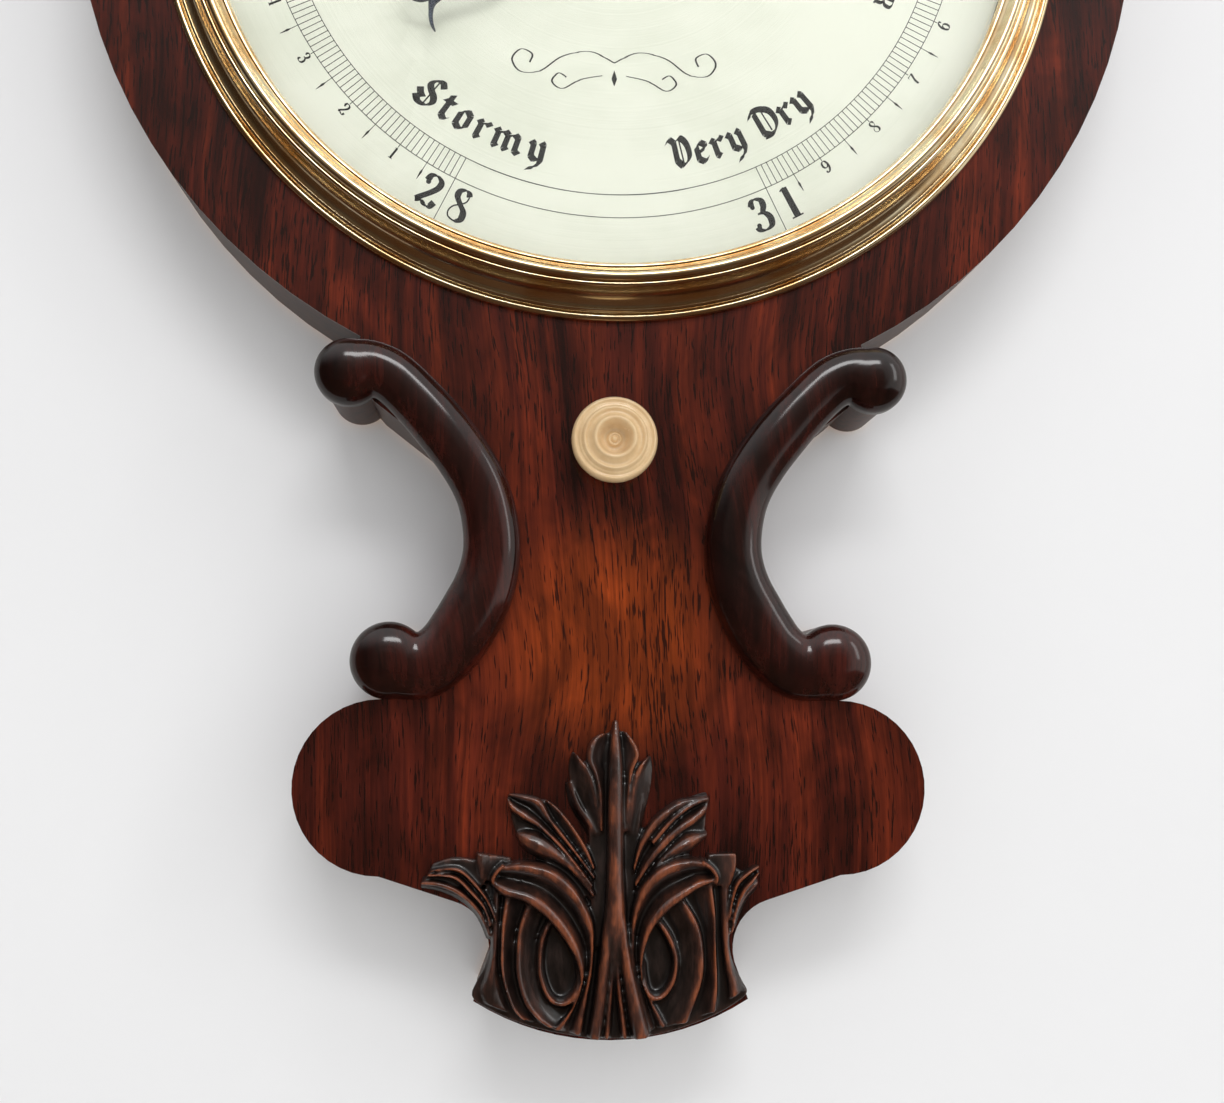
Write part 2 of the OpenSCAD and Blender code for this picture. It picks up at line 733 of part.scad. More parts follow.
module turn_button_screw() {
  head = [button_pivot_r, wood_screw[1] + door_recess - button_d + seat_gap, 2.6];
  color(brass) at_dial() intersection() {
    screw(head, button_x, door_mid, button_d - seat_gap, 1);
    rod(head[2], 0.1, carcass_d, button_x, door_mid);
  }
}

// Brass plate on the back of the crest, with the hole that the case hangs by
hang_screw_z = [top_z - hang_plate_low + 6, top_z - hang_plate_low + 16];

module hanging_plate() {
  color(brass) at_dial() difference() {
    slab(0, hang_plate_t) {
      translate([0, top_z + hang_rise]) circle(hang_head_r);
      translate([-hang_head_r, top_z - hang_plate_low])
        square([2 * hang_head_r, hang_plate_low + hang_rise]);
    }
    rod(hang_hole_r, -1, carcass_d, 0, top_z + hang_rise);
    for (z = hang_screw_z) {
      rod(wood_screw[0] + seat_gap, -1, carcass_d, 0, z);
      turned(0, z) polygon([[0, -1], [wood_screw[2] + 1, -1], [wood_screw[2] + seat_gap, 0],
        [wood_screw[0] + seat_gap, hang_plate_t], [0, hang_plate_t]]);
    }
  }
}

// Countersunk screws of the hanging plate
module hanging_screws() {
  color(steel) at_dial() for (z = hang_screw_z) difference() {
    turned(0, z) polygon([[0, 0.1], [wood_screw[2], 0.1], [wood_screw[0], hang_plate_t],
      [wood_screw[0], hang_plate_t + wood_screw[1]], [0, hang_plate_t + wood_screw[1]]]);
    translate([0, 0, z]) cube([wood_screw[2] * 3, 1.4, 0.7], center = true);
  }
}

// Silvered dial plate on the face of the carcass
dial_screw_angles = [60, 180, 300];

module dial_plate() {
  color(silvered) at_dial() difference() {
    rod(dial_r, carcass_d, dial_front);
    rod(pipe_r + free_gap, 0, beyond);
    for (a = dial_screw_angles) rod(small_screw[0] + seat_gap, 0, beyond,
      dial_screw_pcd_r * sin(a), dial_screw_pcd_r * cos(a));
  }
}

module dial_screws() {
  color(silvered) at_dial() for (a = dial_screw_angles)
    screw([small_screw[0], small_screw[1] + dial_t, 1.6], dial_screw_pcd_r * sin(a),
      dial_screw_pcd_r * cos(a), dial_front, -1);
}

// Heights of the bezel's parts above the veneer
lip_h = bezel_h - 4;
retainer_t = 1.2;
rim_r = sight_r + 3;
base_in_r = dial_r + 1;

// The glass slopes up from its rim, so its rim lies lower than the lip's edge by that slope
glass_rim_r = rim_r - seat_gap;
glass_slope = glass_rise * (1 - pow(sight_r / glass_rim_r, 2));
glass_back = front_d + lip_h - glass_t - glass_slope - 2 * seat_gap;

// Stepped brass bezel, turned from the flange on the veneer to the lip over the glass
module bezel_2d() {
  r = bezel_r;
  s = sight_r;
  h = bezel_h;
  polygon([
    [base_in_r, 0], [r, 0], [r, 1.2], [r - 0.6, 1.8], [r - 1.6, 1.8], [r - 1.9, 1.3],
    [r - 2.2, 2], [r - 2.9, 2.5], [r - 3.2, 2.2], [r - 5, 3.1], [r - 6.2, 4.8], [r - 6.9, h - 2.6],
    [r - 7, h - 1.7], [r - 7.5, h - 1.1], [r - 8.1, h - 1.2], [r - 8.4, h - 0.5], [r - 9.2, h],
    [r - 9.9, h - 0.3], [r - 10.2, h - 1], [s + 1.5, h - 3.1], [s + 1.1, h - 3.1], [s + 0.7, h - 2.8],
    [s + 0.2, h - 3.1], [s, h - 3.6], [s, lip_h], [rim_r, lip_h], [rim_r, 1.6], [base_in_r, 1.6]
  ]);
}

module bezel_ring() {
  color(brass) at_dial() turned() translate([0, front_d]) bezel_2d();
}

// Domed glass held under the lip of the bezel
module bezel_glass() {
  ball_r = (glass_rim_r * glass_rim_r + glass_rise * glass_rise) / (2 * glass_rise);
  centre_d = glass_back + glass_rise - ball_r;
  half = asin(glass_rim_r / ball_r);
  color(glass, 0.4) at_dial() turned() intersection() {
    polygon(concat(arc([0, centre_d], ball_r, 90 - half, 90, 16),
      arc([0, centre_d], ball_r + glass_t, 90, 90 - half, 16)));
    square([glass_rim_r, beyond]);
  }
}

module glass_retainer() {
  d1 = glass_back - seat_gap;
  color(brass) at_dial() difference() {
    rod(rim_r - seat_gap / 2, d1 - retainer_t, d1);
    rod(sight_r + 1, 0, beyond);
  }
}

// Hinge at the right of the bezel
bezel_screw_x = bezel_axis_x + bezel_leaf_w - 4.5;
bezel_screw_z = [-bezel_hinge_l / 3, bezel_hinge_l / 3];
bezel_leaf_t = 1.2;

module bezel_hinge_fixed() {
  l = bezel_hinge_l;
  leaf_x0 = bezel_axis_x + 1.5 * free_gap;
  color(brass) at_dial() difference() {
    union() {
      hinge_knuckles(bezel_axis_x, bezel_axis_d, 0, l, bezel_knuckle_r, bezel_pin_r, false);
      block(leaf_x0, bezel_axis_x + bezel_leaf_w, front_d, front_d + bezel_leaf_t, -l / 2, l / 2);
      for (s = [-1, 1]) block(leaf_x0, bezel_axis_x + bezel_knuckle_r, front_d, bezel_axis_d,
        s * l / 3 - l / 6 + (s > 0 ? free_gap / 2 : 0), s * l / 3 + l / 6 - (s < 0 ? free_gap / 2 : 0));
    }
    post(bezel_pin_r, bezel_axis_x, bezel_axis_d, -l, l);
    block(0, bezel_axis_x + bezel_knuckle_r + free_gap, 0, beyond,
      -l / 6 - free_gap / 4, l / 6 + free_gap / 4);
    for (z = bezel_screw_z) rod(small_screw[0] + seat_gap, 0, beyond, bezel_screw_x, z);
  }
}

// The moving leaf is soldered to the outside of the bezel
module bezel_hinge_moving() {
  l = bezel_hinge_l;
  color(brass) at_dial() difference() {
    union() {
      post(bezel_knuckle_r, bezel_axis_x, bezel_axis_d, -l / 6 + free_gap / 2, l / 6 - free_gap / 2);
      block(bezel_r - 5, bezel_axis_x, bezel_axis_d - 0.2, bezel_axis_d + 1.2,
        -l / 6 + free_gap / 2, l / 6 - free_gap / 2);
    }
    post(bezel_pin_r + run_fit, bezel_axis_x, bezel_axis_d, -l, l);
    turned() translate([0, front_d]) bezel_2d();
    rod(bezel_r - 4.6, 0, beyond);
  }
}

module bezel_hinge_pin() {
  half = bezel_hinge_l / 2;
  color(brass) at_dial() post(bezel_pin_r, bezel_axis_x, bezel_axis_d, -half, half);
}

module bezel_hinge_screws() {
  color(brass) at_dial() for (z = bezel_screw_z)
    screw([small_screw[0], small_screw[1] + bezel_leaf_t, small_screw[2]], bezel_screw_x, z,
      front_d + bezel_leaf_t, -1);
}

// Blued steel hand, drawn upright: a slender point, and a whip with a crescent for a tail
module hand_2d() {
  boss_r = collet_r + 2.5;
  fork = 0.2 * hand_tail_l;
  tip = [0.03 * hand_tail_l, -hand_tail_l];
  both_halves(concat(hand_l * [[0, 1], [0.033, 0.72], [0.014, 0.57], [0.021, 0]],
    [[0.018 * hand_l, fork - hand_tail_l]]));
  circle(boss_r);
  polygon(anticlockwise(concat(
    cubic(tip + fork * [-0.35, 1.08], tip + fork * [-0.54, 0.46], tip + fork * [-0.38, 0.23], tip),
    cubic(tip + fork * [0.02, 0.03], tip + fork * [-0.28, 0.31], tip + fork * [-0.26, 0.54],
      tip + fork * [-0.03, 1.08])
  )));
  crescent_r = 0.54 * fork;
  crescent = tip + fork * [-0.81, 0.73];
  difference() {
    translate(crescent) circle(crescent_r);
    translate(crescent + crescent_r * [-0.17, 0.17]) circle(0.8 * crescent_r);
    translate(crescent - [3 * crescent_r, 0]) rotate(20) square(crescent_r * [6, 3]);
  }
}

module indicator_hand() {
  color(blue_steel) at_dial() rotate([0, hand_angle, 0]) difference() {
    slab(hand_d, hand_d + hand_t) hand_2d();
    rod(collet_r + seat_gap / 2, 0, beyond);
  }
}

// Collet that the hand is riveted to and that grips the arbor
module hand_collet() {
  color(brass) at_dial() difference() {
    union() {
      rod(collet_r, hand_d - collet_nose, hand_d + hand_t + collet_l);
      rod(collet_r + 1, hand_d + hand_t, hand_d + hand_t + collet_l);
    }
    rod(arbor_r + seat_gap / 2, 0, beyond);
  }
}

module indicator_arbor() {
  color(steel) at_dial() rod(arbor_r, bridge_d0 - arbor_tail, arbor_d1);
}

// A grooved pulley turned about the line of the hands
module groove_2d(d0, d1, line_r, wire_r, bore_r) {
  mid = (d0 + d1) / 2;
  floor_r = line_r - wire_r - free_gap;
  rim = line_r + wire_r + 0.8;
  lip = (d1 - d0) / 2 - 0.35;
  polygon([[bore_r, d0], [rim, d0], [rim, mid - lip], [floor_r, mid - wire_r - free_gap / 2],
    [floor_r, mid + wire_r + free_gap / 2], [rim, mid + lip], [rim, d1], [bore_r, d1]]);
}

module thread_pulley() {
  color(brass) at_dial() turned()
    groove_2d(thread_wheel_d0, thread_wheel_d1, thread_line_r, thread_r, arbor_r + seat_gap / 2);
}

// Brass cock screwed to the back of the board, with the arbor's rear bearing
bridge_h = 12;
bridge_foot_x0 = 20;
bridge_foot_x1 = 34;
bridge_screw_places = [[27, -3.5], [27, 3.5]];

module arbor_bridge() {
  color(brass) at_dial() difference() {
    union() {
      rod(bridge_h / 2, bridge_d0, bridge_d1);
      block(0, bridge_foot_x1, bridge_d0, bridge_d1, -bridge_h / 2, bridge_h / 2);
      block(bridge_foot_x0, bridge_foot_x1, bridge_d0, board_back, -bridge_h / 2, bridge_h / 2);
    }
    rod(arbor_r + run_fit, 0, carcass_d);
    for (p = bridge_screw_places) rod(small_screw[0] + seat_gap, 0, carcass_d, p[0], p[1]);
  }
}

module bridge_screws() {
  long = [small_screw[0], board_back - bridge_d0 + small_screw[1], small_screw[2]];
  color(steel) at_dial() for (p = bridge_screw_places) screw(long, p[0], p[1], bridge_d0, 1);
}

// Brass set hand, drawn upright
module set_hand() {
  color(brass) at_dial() rotate([0, set_angle, 0]) difference() {
    slab(set_hand_d, set_hand_d + hand_t) {
      both_halves(set_hand_l * [[0, 1], [0.02, 0.84], [0.01, 0.73], [0.018, 0], [0.022, -0.19],
        [0.043, -0.32]]);
      circle(pipe_r + 2.6);
    }
    rod(pipe_r + seat_gap / 2, 0, beyond);
  }
}

module set_hand_pipe() {
  color(brass) at_dial() difference() {
    rod(pipe_r, cord_wheel_d0, set_hand_d + hand_t + pipe_nose);
    rod(arbor_r + run_fit, 0, beyond);
  }
}

module set_hand_pulley() {
  color(brass) at_dial() turned()
    groove_2d(cord_wheel_d0, cord_wheel_d1, cord_wheel_r, cord_r, pipe_r + seat_gap / 2);
}

// Radius of the hole that a bush for a given shaft is pressed into
bush_wall = 1.8;
function bush_r(shaft_r) = shaft_r + run_fit + bush_wall;

module pipe_bush() {
  color(brass) at_dial() difference() {
    rod(bush_r(pipe_r) - seat_gap / 2, board_back, carcass_d);
    rod(pipe_r + run_fit, 0, beyond);
  }
}

// Turned bone knob with raised rings and a pip
module setting_knob() {
  r = knob_r;
  h = knob_h;
  color(bone) at_dial() turned(0, knob_z) translate([0, front_d + 0.4]) polygon([
    [0, 0], [r * 0.62, 0], [r * 0.58, h * 0.25], [r * 0.86, h * 0.4], [r * 0.98, h * 0.5], [r, h * 0.6],
    [r * 0.97, h * 0.7], [r * 0.88, h * 0.76], [r * 0.84, h * 0.73], [r * 0.76, h * 0.8],
    [r * 0.66, h * 0.84], [r * 0.62, h * 0.81], [r * 0.5, h * 0.88], [r * 0.38, h * 0.92],
    [r * 0.33, h * 0.88], [r * 0.2, h * 0.9], [r * 0.15, h * 0.97], [0, h]
  ]);
}

module knob_spindle() {
  color(brass) at_dial() rod(knob_spindle_r, cord_wheel_d0, front_d + 0.4, 0, knob_z);
}

module knob_pulley() {
  color(brass) at_dial() translate([0, 0, knob_z]) turned()
    groove_2d(cord_wheel_d0, cord_wheel_d1, cord_wheel_r, cord_r, knob_spindle_r + seat_gap / 2);
}

module knob_bush() {
  color(brass) at_dial() difference() {
    rod(bush_r(knob_spindle_r) - seat_gap / 2, board_back, front_d, 0, knob_z);
    rod(knob_spindle_r + run_fit, 0, beyond, 0, knob_z);
  }
}

// Endless cord round the two set-hand pulleys
module set_hand_cord() {
  color(silk) at_dial() {
    for (s = [-1, 1]) post(cord_r, s * cord_wheel_r, cord_d, knob_z, 0);
    for (s = [0, 1]) translate([0, -cord_d, s * knob_z]) mirror([0, 0, s]) rotate([90, 0, 0])
      rotate_extrude(angle = 180) translate([cord_wheel_r, 0]) circle(cord_r);
  }
}

// Works from the centre of the siphon's bend
module at_bend() {
  translate([bend_x, -tube_d, bend_z]) children();
}

// The lower half of a ring, bent round the bend's centre
module half_bend(r) {
  rotate([90, 0, 0]) rotate([0, 0, 180]) rotate_extrude(angle = 180) translate([bend_r, 0]) circle(r);
}

// A siphon of a given radius, with its two limbs' lengths above the bend's centre
module siphon(r, long_l, short_l) {
  half_bend(r);
  translate([-bend_r, 0, 0]) cylinder(r = r, h = long_l);
  if (short_l > 0) translate([bend_r, 0, 0]) cylinder(r = r, h = short_l);
}

module siphon_tube() {
  long_l = tube_top - bend_z;
  short_l = short_top - bend_z;
  color(glass, 0.4) at_dial() at_bend() difference() {
    siphon(tube_r, long_l, short_l);
    siphon(tube_bore_r, long_l - tube_wall_end, short_l + 1);
  }
}

module mercury_long() {
  color(mercury) at_dial() at_bend() siphon(tube_bore_r - run_fit, long_level_z - bend_z, 0);
}

module mercury_short() {
  color(mercury) at_dial() post(tube_bore_r - run_fit, thread_line_r, tube_d, bend_z, level_z);
}

module float_weight() {
  color(steel) at_dial() post(float_r, thread_line_r, tube_d, float_z, float_z + float_l);
}

module counterweight() {
  color(steel) at_dial() post(counter_r, -thread_line_r, tube_d, counter_z, counter_z + counter_l);
}

module float_thread() {
  color(silk) at_dial() post(thread_r, thread_line_r, tube_d, float_z + float_l, 0);
}

module counter_thread() {
  color(silk) at_dial() post(thread_r, -thread_line_r, tube_d, counter_z + counter_l, 0);
}

module guide_tube() {
  color(glass, 0.4) at_dial() difference() {
    post(guide_r, -thread_line_r, tube_d, guide_z, guide_z + guide_l);
    post(counter_r + free_gap, -thread_line_r, tube_d, guide_z - 1, guide_z + guide_l + 1);
  }
}

// Corks that hold the tubes in the lower channel, behind the set hand's cord
cork_h = 12;
lower_cork_z = [guide_z + 6, bend_z + 14];

module lower_corks() {
  color(cork) at_dial() difference() {
    for (z = lower_cork_z) block(channel_x0, channel_x1, cover_t, tube_d + tube_r, z, z + cork_h);
    post(tube_r + seat_gap / 2, -long_limb_x, tube_d, bend_z, 0);
    post(tube_r + seat_gap / 2, thread_line_r, tube_d, bend_z, 0);
    post(guide_r + seat_gap / 2, -thread_line_r, tube_d, guide_z, 0);
  }
}

// Corks that hold the long limb in the neck
neck_cork_z = [for (t = [0.1, 0.5, 0.9]) door_mid + door_h / 2 + t * (tube_top - door_mid - door_h / 2)];

module neck_corks() {
  color(cork) at_dial() difference() {
    for (z = neck_cork_z) block(-long_limb_x - neck_channel_w / 2, -long_limb_x + neck_channel_w / 2,
      cover_t, board_back, z, z + cork_h);
    post(tube_r + seat_gap / 2, -long_limb_x, tube_d, 0, top_z);
  }
}

// Cork that the bend stands on
module bend_rest() {
  color(cork) at_dial() block(bend_x - 6, bend_x + 6, cover_t, board_back, channel_bottom,
    bend_z - bend_r - tube_r - seat_gap);
}

// Thermometer on the neck
thermo_z = (volute_out_z + volute_out_r + top_z - ear_rise - crest_ear_r) / 2;
thermo_pane_t = 1.5;
scale_t = 1.2;
thermo_pane_h = scale_t + 2 * bulb_r + free_gap;
thermo_rise = thermo_pane_h + thermo_pane_t + thermo_lip;
stem_l = thermo_h - 2 * thermo_rail - 34;
bulb_z = thermo_z - thermo_h / 2 + thermo_rail + 14;
stem_d = front_d + scale_t + bulb_r + seat_gap / 2;
thermo_bore_r = 0.7;
bulb_wall = 0.8;

// Upright window with a round head
module arch_2d(w, h) {
  translate([-w / 2, thermo_z - h / 2]) square([w, h - w / 2]);
  translate([0, thermo_z + h / 2 - w / 2]) circle(w / 2);
}

module thermometer_frame() {
  w = thermo_w;
  h = thermo_h;
  rail = thermo_rail;
  color(dark_wood) at_dial() difference() {
    union() {
      slab(front_d, front_d + thermo_rise * 0.6) arch_2d(w, h);
      slab(front_d, front_d + thermo_rise) arch_2d(w - rail * 0.6, h - rail * 0.6);
    }
    slab(0, beyond) arch_2d(w - 2 * rail, h - 2 * rail);
    slab(0, front_d + thermo_pane_h + thermo_pane_t) arch_2d(w - rail, h - rail);
  }
}

module thermometer_glass() {
  d = front_d + thermo_pane_h;
  side = thermo_rail + seat_gap * 2;
  color(glass, 0.4) at_dial() slab(d, d + thermo_pane_t) arch_2d(thermo_w - side, thermo_h - side);
}

module thermometer_scale() {
  side = thermo_rail + seat_gap * 2;
  color(silvered) at_dial() slab(front_d, front_d + scale_t) arch_2d(thermo_w - side, thermo_h - side);
}

module thermometer_tube() {
  color(glass, 0.4) at_dial() difference() {
    union() {
      post(stem_r, 0, stem_d, bulb_z, bulb_z + stem_l);
      translate([0, -stem_d, bulb_z]) sphere(bulb_r);
    }
    post(thermo_bore_r, 0, stem_d, bulb_z, bulb_z + stem_l - 3);
    translate([0, -stem_d, bulb_z]) sphere(bulb_r - bulb_wall);
  }
}

module thermometer_mercury() {
  column = 0.55 * stem_l;
  color(mercury) at_dial() {
    post(thermo_bore_r - run_fit, 0, stem_d, bulb_z, bulb_z + column);
    translate([0, -stem_d, bulb_z]) sphere(bulb_r - bulb_wall - run_fit);
  }
}

case_body();
front_veneer();
lower_scroll_left();
lower_scroll_right();
upper_scroll_left();
upper_scroll_right();
base_leaf();
crest_leaf();
lower_cover();
neck_cover();
cover_screws();
back_door();
door_hinge_fixed();
door_hinge_moving();
door_hinge_pins();
turn_button();
turn_button_screw();
hanging_plate();
hanging_screws();
dial_plate();
dial_screws();
bezel_ring();
bezel_glass();
glass_retainer();
bezel_hinge_fixed();
bezel_hinge_moving();
bezel_hinge_pin();
bezel_hinge_screws();
indicator_hand();
hand_collet();
indicator_arbor();
thread_pulley();
arbor_bridge();
bridge_screws();
set_hand();
set_hand_pipe();
set_hand_pulley();
pipe_bush();
setting_knob();
knob_spindle();
knob_pulley();
knob_bush();
set_hand_cord();
siphon_tube();
mercury_long();
mercury_short();
float_weight();
counterweight();
float_thread();
counter_thread();
guide_tube();
lower_corks();
neck_corks();
bend_rest();
thermometer_frame();
thermometer_glass();
thermometer_scale();
thermometer_tube();
thermometer_mercury();
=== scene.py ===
"""Dresses a wheel barometer in a banjo-shaped case.

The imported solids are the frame. Pieces that need a softer or finer shape than the solids are drawn
here in millimetres, lying face up on a bench whose middle is the dial's centre, and then stood up
against the wall. Every surface gets a finish made from nodes.
"""

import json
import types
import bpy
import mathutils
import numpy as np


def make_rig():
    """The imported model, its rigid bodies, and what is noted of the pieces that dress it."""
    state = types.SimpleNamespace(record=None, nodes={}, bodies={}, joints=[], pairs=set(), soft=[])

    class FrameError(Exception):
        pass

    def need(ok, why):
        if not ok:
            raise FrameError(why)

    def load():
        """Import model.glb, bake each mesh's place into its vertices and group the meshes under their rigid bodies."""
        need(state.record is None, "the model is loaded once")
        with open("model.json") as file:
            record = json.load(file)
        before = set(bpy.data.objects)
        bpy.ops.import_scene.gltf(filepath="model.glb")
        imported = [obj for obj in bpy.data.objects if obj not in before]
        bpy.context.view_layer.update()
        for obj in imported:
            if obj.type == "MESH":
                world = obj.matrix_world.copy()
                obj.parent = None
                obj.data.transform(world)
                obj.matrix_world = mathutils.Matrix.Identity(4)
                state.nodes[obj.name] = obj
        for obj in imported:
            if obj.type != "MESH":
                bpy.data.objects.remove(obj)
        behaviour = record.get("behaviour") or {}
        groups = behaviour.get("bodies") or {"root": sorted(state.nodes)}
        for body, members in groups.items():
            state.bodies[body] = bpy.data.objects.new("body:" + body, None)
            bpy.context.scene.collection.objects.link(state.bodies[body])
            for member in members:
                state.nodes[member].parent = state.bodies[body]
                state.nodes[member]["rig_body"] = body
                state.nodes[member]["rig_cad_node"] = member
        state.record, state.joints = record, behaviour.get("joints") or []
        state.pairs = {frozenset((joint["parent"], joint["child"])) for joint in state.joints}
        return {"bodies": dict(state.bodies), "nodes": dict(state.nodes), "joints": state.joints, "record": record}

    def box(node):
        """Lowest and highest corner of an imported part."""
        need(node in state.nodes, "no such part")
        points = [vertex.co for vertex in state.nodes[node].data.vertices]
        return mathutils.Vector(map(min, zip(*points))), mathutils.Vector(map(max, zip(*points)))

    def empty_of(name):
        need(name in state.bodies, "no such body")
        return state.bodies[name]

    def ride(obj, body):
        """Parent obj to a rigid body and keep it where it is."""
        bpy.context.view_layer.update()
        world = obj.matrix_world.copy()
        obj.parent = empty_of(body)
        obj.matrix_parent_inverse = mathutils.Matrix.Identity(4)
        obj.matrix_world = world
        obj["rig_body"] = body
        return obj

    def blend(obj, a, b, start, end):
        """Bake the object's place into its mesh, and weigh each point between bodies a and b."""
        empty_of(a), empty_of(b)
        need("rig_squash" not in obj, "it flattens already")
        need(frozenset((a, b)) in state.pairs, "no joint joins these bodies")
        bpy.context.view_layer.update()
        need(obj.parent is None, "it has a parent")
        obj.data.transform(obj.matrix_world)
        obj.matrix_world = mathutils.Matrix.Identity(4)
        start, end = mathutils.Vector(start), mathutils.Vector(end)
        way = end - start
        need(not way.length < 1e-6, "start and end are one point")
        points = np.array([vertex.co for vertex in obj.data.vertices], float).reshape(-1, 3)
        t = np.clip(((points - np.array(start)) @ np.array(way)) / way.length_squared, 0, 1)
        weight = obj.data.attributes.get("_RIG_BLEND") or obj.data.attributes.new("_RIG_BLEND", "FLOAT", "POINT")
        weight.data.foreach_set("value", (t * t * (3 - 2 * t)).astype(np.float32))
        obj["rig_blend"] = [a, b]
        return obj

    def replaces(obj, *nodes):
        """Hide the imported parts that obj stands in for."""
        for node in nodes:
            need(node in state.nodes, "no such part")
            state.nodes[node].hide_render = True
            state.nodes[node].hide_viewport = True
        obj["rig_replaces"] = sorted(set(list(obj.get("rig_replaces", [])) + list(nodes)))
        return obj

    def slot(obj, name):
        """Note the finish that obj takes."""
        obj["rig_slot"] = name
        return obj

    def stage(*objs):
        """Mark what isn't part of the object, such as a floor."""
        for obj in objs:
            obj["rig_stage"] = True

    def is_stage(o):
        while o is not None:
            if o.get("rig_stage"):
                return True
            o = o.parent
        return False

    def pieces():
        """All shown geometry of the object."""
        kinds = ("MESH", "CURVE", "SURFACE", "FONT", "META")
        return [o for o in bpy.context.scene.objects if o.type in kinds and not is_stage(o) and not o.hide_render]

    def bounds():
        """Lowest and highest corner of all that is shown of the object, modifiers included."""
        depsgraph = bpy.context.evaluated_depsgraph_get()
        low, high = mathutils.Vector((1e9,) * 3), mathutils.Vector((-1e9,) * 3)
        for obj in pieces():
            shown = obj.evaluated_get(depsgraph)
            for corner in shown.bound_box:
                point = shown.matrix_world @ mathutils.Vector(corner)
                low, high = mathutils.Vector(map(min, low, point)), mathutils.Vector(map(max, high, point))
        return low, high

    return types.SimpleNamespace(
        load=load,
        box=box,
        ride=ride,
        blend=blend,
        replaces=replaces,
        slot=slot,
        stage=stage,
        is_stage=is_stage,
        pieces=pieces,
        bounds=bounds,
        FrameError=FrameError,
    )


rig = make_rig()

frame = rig.load()
CAD_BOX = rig.bounds()

import json
import logging
import math
from collections.abc import Callable, Iterable, Sequence
from dataclasses import dataclass
from enum import Enum
from pathlib import Path

import bmesh
import bpy
from mathutils import Matrix, Vector

LOG = logging.getLogger("barometer")

Place = tuple[float, float]
Triple = tuple[float, float, float]
Colour = tuple[float, float, float, float]
Stops = tuple[tuple[float, str], ...]
Tree = bpy.types.NodeTree
Node = bpy.types.Node
Socket = bpy.types.NodeSocket
Solid = bmesh.types.BMesh
Piece = bpy.types.Object

MM = 0.001
# How far the veneer's face stands out from the wall.
FRONT = 30.0


def middle(node: str) -> Vector:
    """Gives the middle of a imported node's box."""
    low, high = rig.box(node)
    return (low + high) / 2


DIAL_Z = middle("dial_plate").z
# From the bench, in millimetres with its third axis towards the viewer, to the wall, in metres.
BENCH = Matrix.Translation((0, 0, DIAL_Z)) @ Matrix.Rotation(math.pi / 2, 4, "X") @ Matrix.Scale(MM, 4)


def bench_box(node: str) -> tuple[Vector, Vector]:
    """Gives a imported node's box as it lies on the bench.

    Args:
        node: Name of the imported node.

    Returns:
        The lowest and highest corners: across, up and out from the wall, in millimetres.
    """
    low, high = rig.box(node)
    turn = BENCH.inverted()
    one, two = turn @ low, turn @ high
    return Vector(map(min, one, two)), Vector(map(max, one, two))


def linear(code: str) -> Colour:
    """Turns an sRGB hex colour into linear light.

    Args:
        code: A colour such as "#7a3212".

    Returns:
        Red, green, blue and an alpha of one.
    """
    steps = (int(code[i:i + 2], 16) / 255 for i in (1, 3, 5))
    red, green, blue = (s / 12.92 if s <= 0.04045 else ((s + 0.055) / 1.055) ** 2.4 for s in steps)
    return red, green, blue, 1.0


def per_mm(across: float, deep: float, up: float) -> Triple:
    """Gives a pattern's scale in each direction from its real sizes in millimetres."""
    return 1 / (across * MM), 1 / (deep * MM), 1 / (up * MM)


def feed(tree: Tree, socket: Socket, value: object) -> None:
    """Links an input to the socket that feeds it, or sets its value.

    Args:
        tree: The node tree.
        socket: The input.
        value: A value or an output socket.
    """
    if isinstance(value, Socket):
        tree.links.new(value, socket)
    else:
        socket.default_value = value


def add(tree: Tree, kind: str, links: dict | None = None, stops: Stops = (), output: str = "",
        size_mm: Triple | None = None, **settings: object) -> Socket:
    """Adds one node with its settings and links.

    Args:
        tree: The node tree that it joins.
        kind: The node's type, without the prefix that all shader nodes share.
        links: For each input, by name or place, a value or the socket that feeds it.
        stops: Places and hex colours of a colour ramp.
        output: Name of the output that is wanted, where it isn't the first one in use.
        size_mm: A pattern's real size across, deep and up, in millimetres.
        settings: The node's own properties.

    Returns:
        The wanted output socket.
    """
    made = tree.nodes.new("ShaderNode" + kind)
    for name, value in settings.items():
        setattr(made, name, value)
    for number, (place, code) in enumerate(stops):
        elements = made.color_ramp.elements
        if number == 0:
            elements.remove(elements[-1])
            elements[0].position = place
        stop = elements[0] if number == 0 else elements.new(place)
        stop.color = linear(code)
    inputs = dict(links or {})
    if size_mm:
        sized = add(tree, "Mapping", {"Vector": inputs["Vector"], "Scale": per_mm(*size_mm)})
        inputs |= {"Vector": sized, "Scale": 1.0}
    for key, value in inputs.items():
        feed(tree, made.inputs[key], value)
    return made.outputs[output] if output else next(s for s in made.outputs if s.enabled)


def set_skin(tree: Tree, skin: Node, **values: object) -> None:
    """Sets or feeds the shader's inputs, named with underscores for spaces.

    Args:
        tree: The material's node tree.
        skin: Its Principled shader.
        values: A value or a socket for each input.
    """
    for name, value in values.items():
        feed(tree, skin.inputs[name.replace("_", " ")], value)


def show(tree: Tree, shader: Socket) -> None:
    """Makes a shader the one that a material shows."""
    out = next(n for n in tree.nodes if n.type == "OUTPUT_MATERIAL")
    tree.links.new(shader, out.inputs["Surface"])


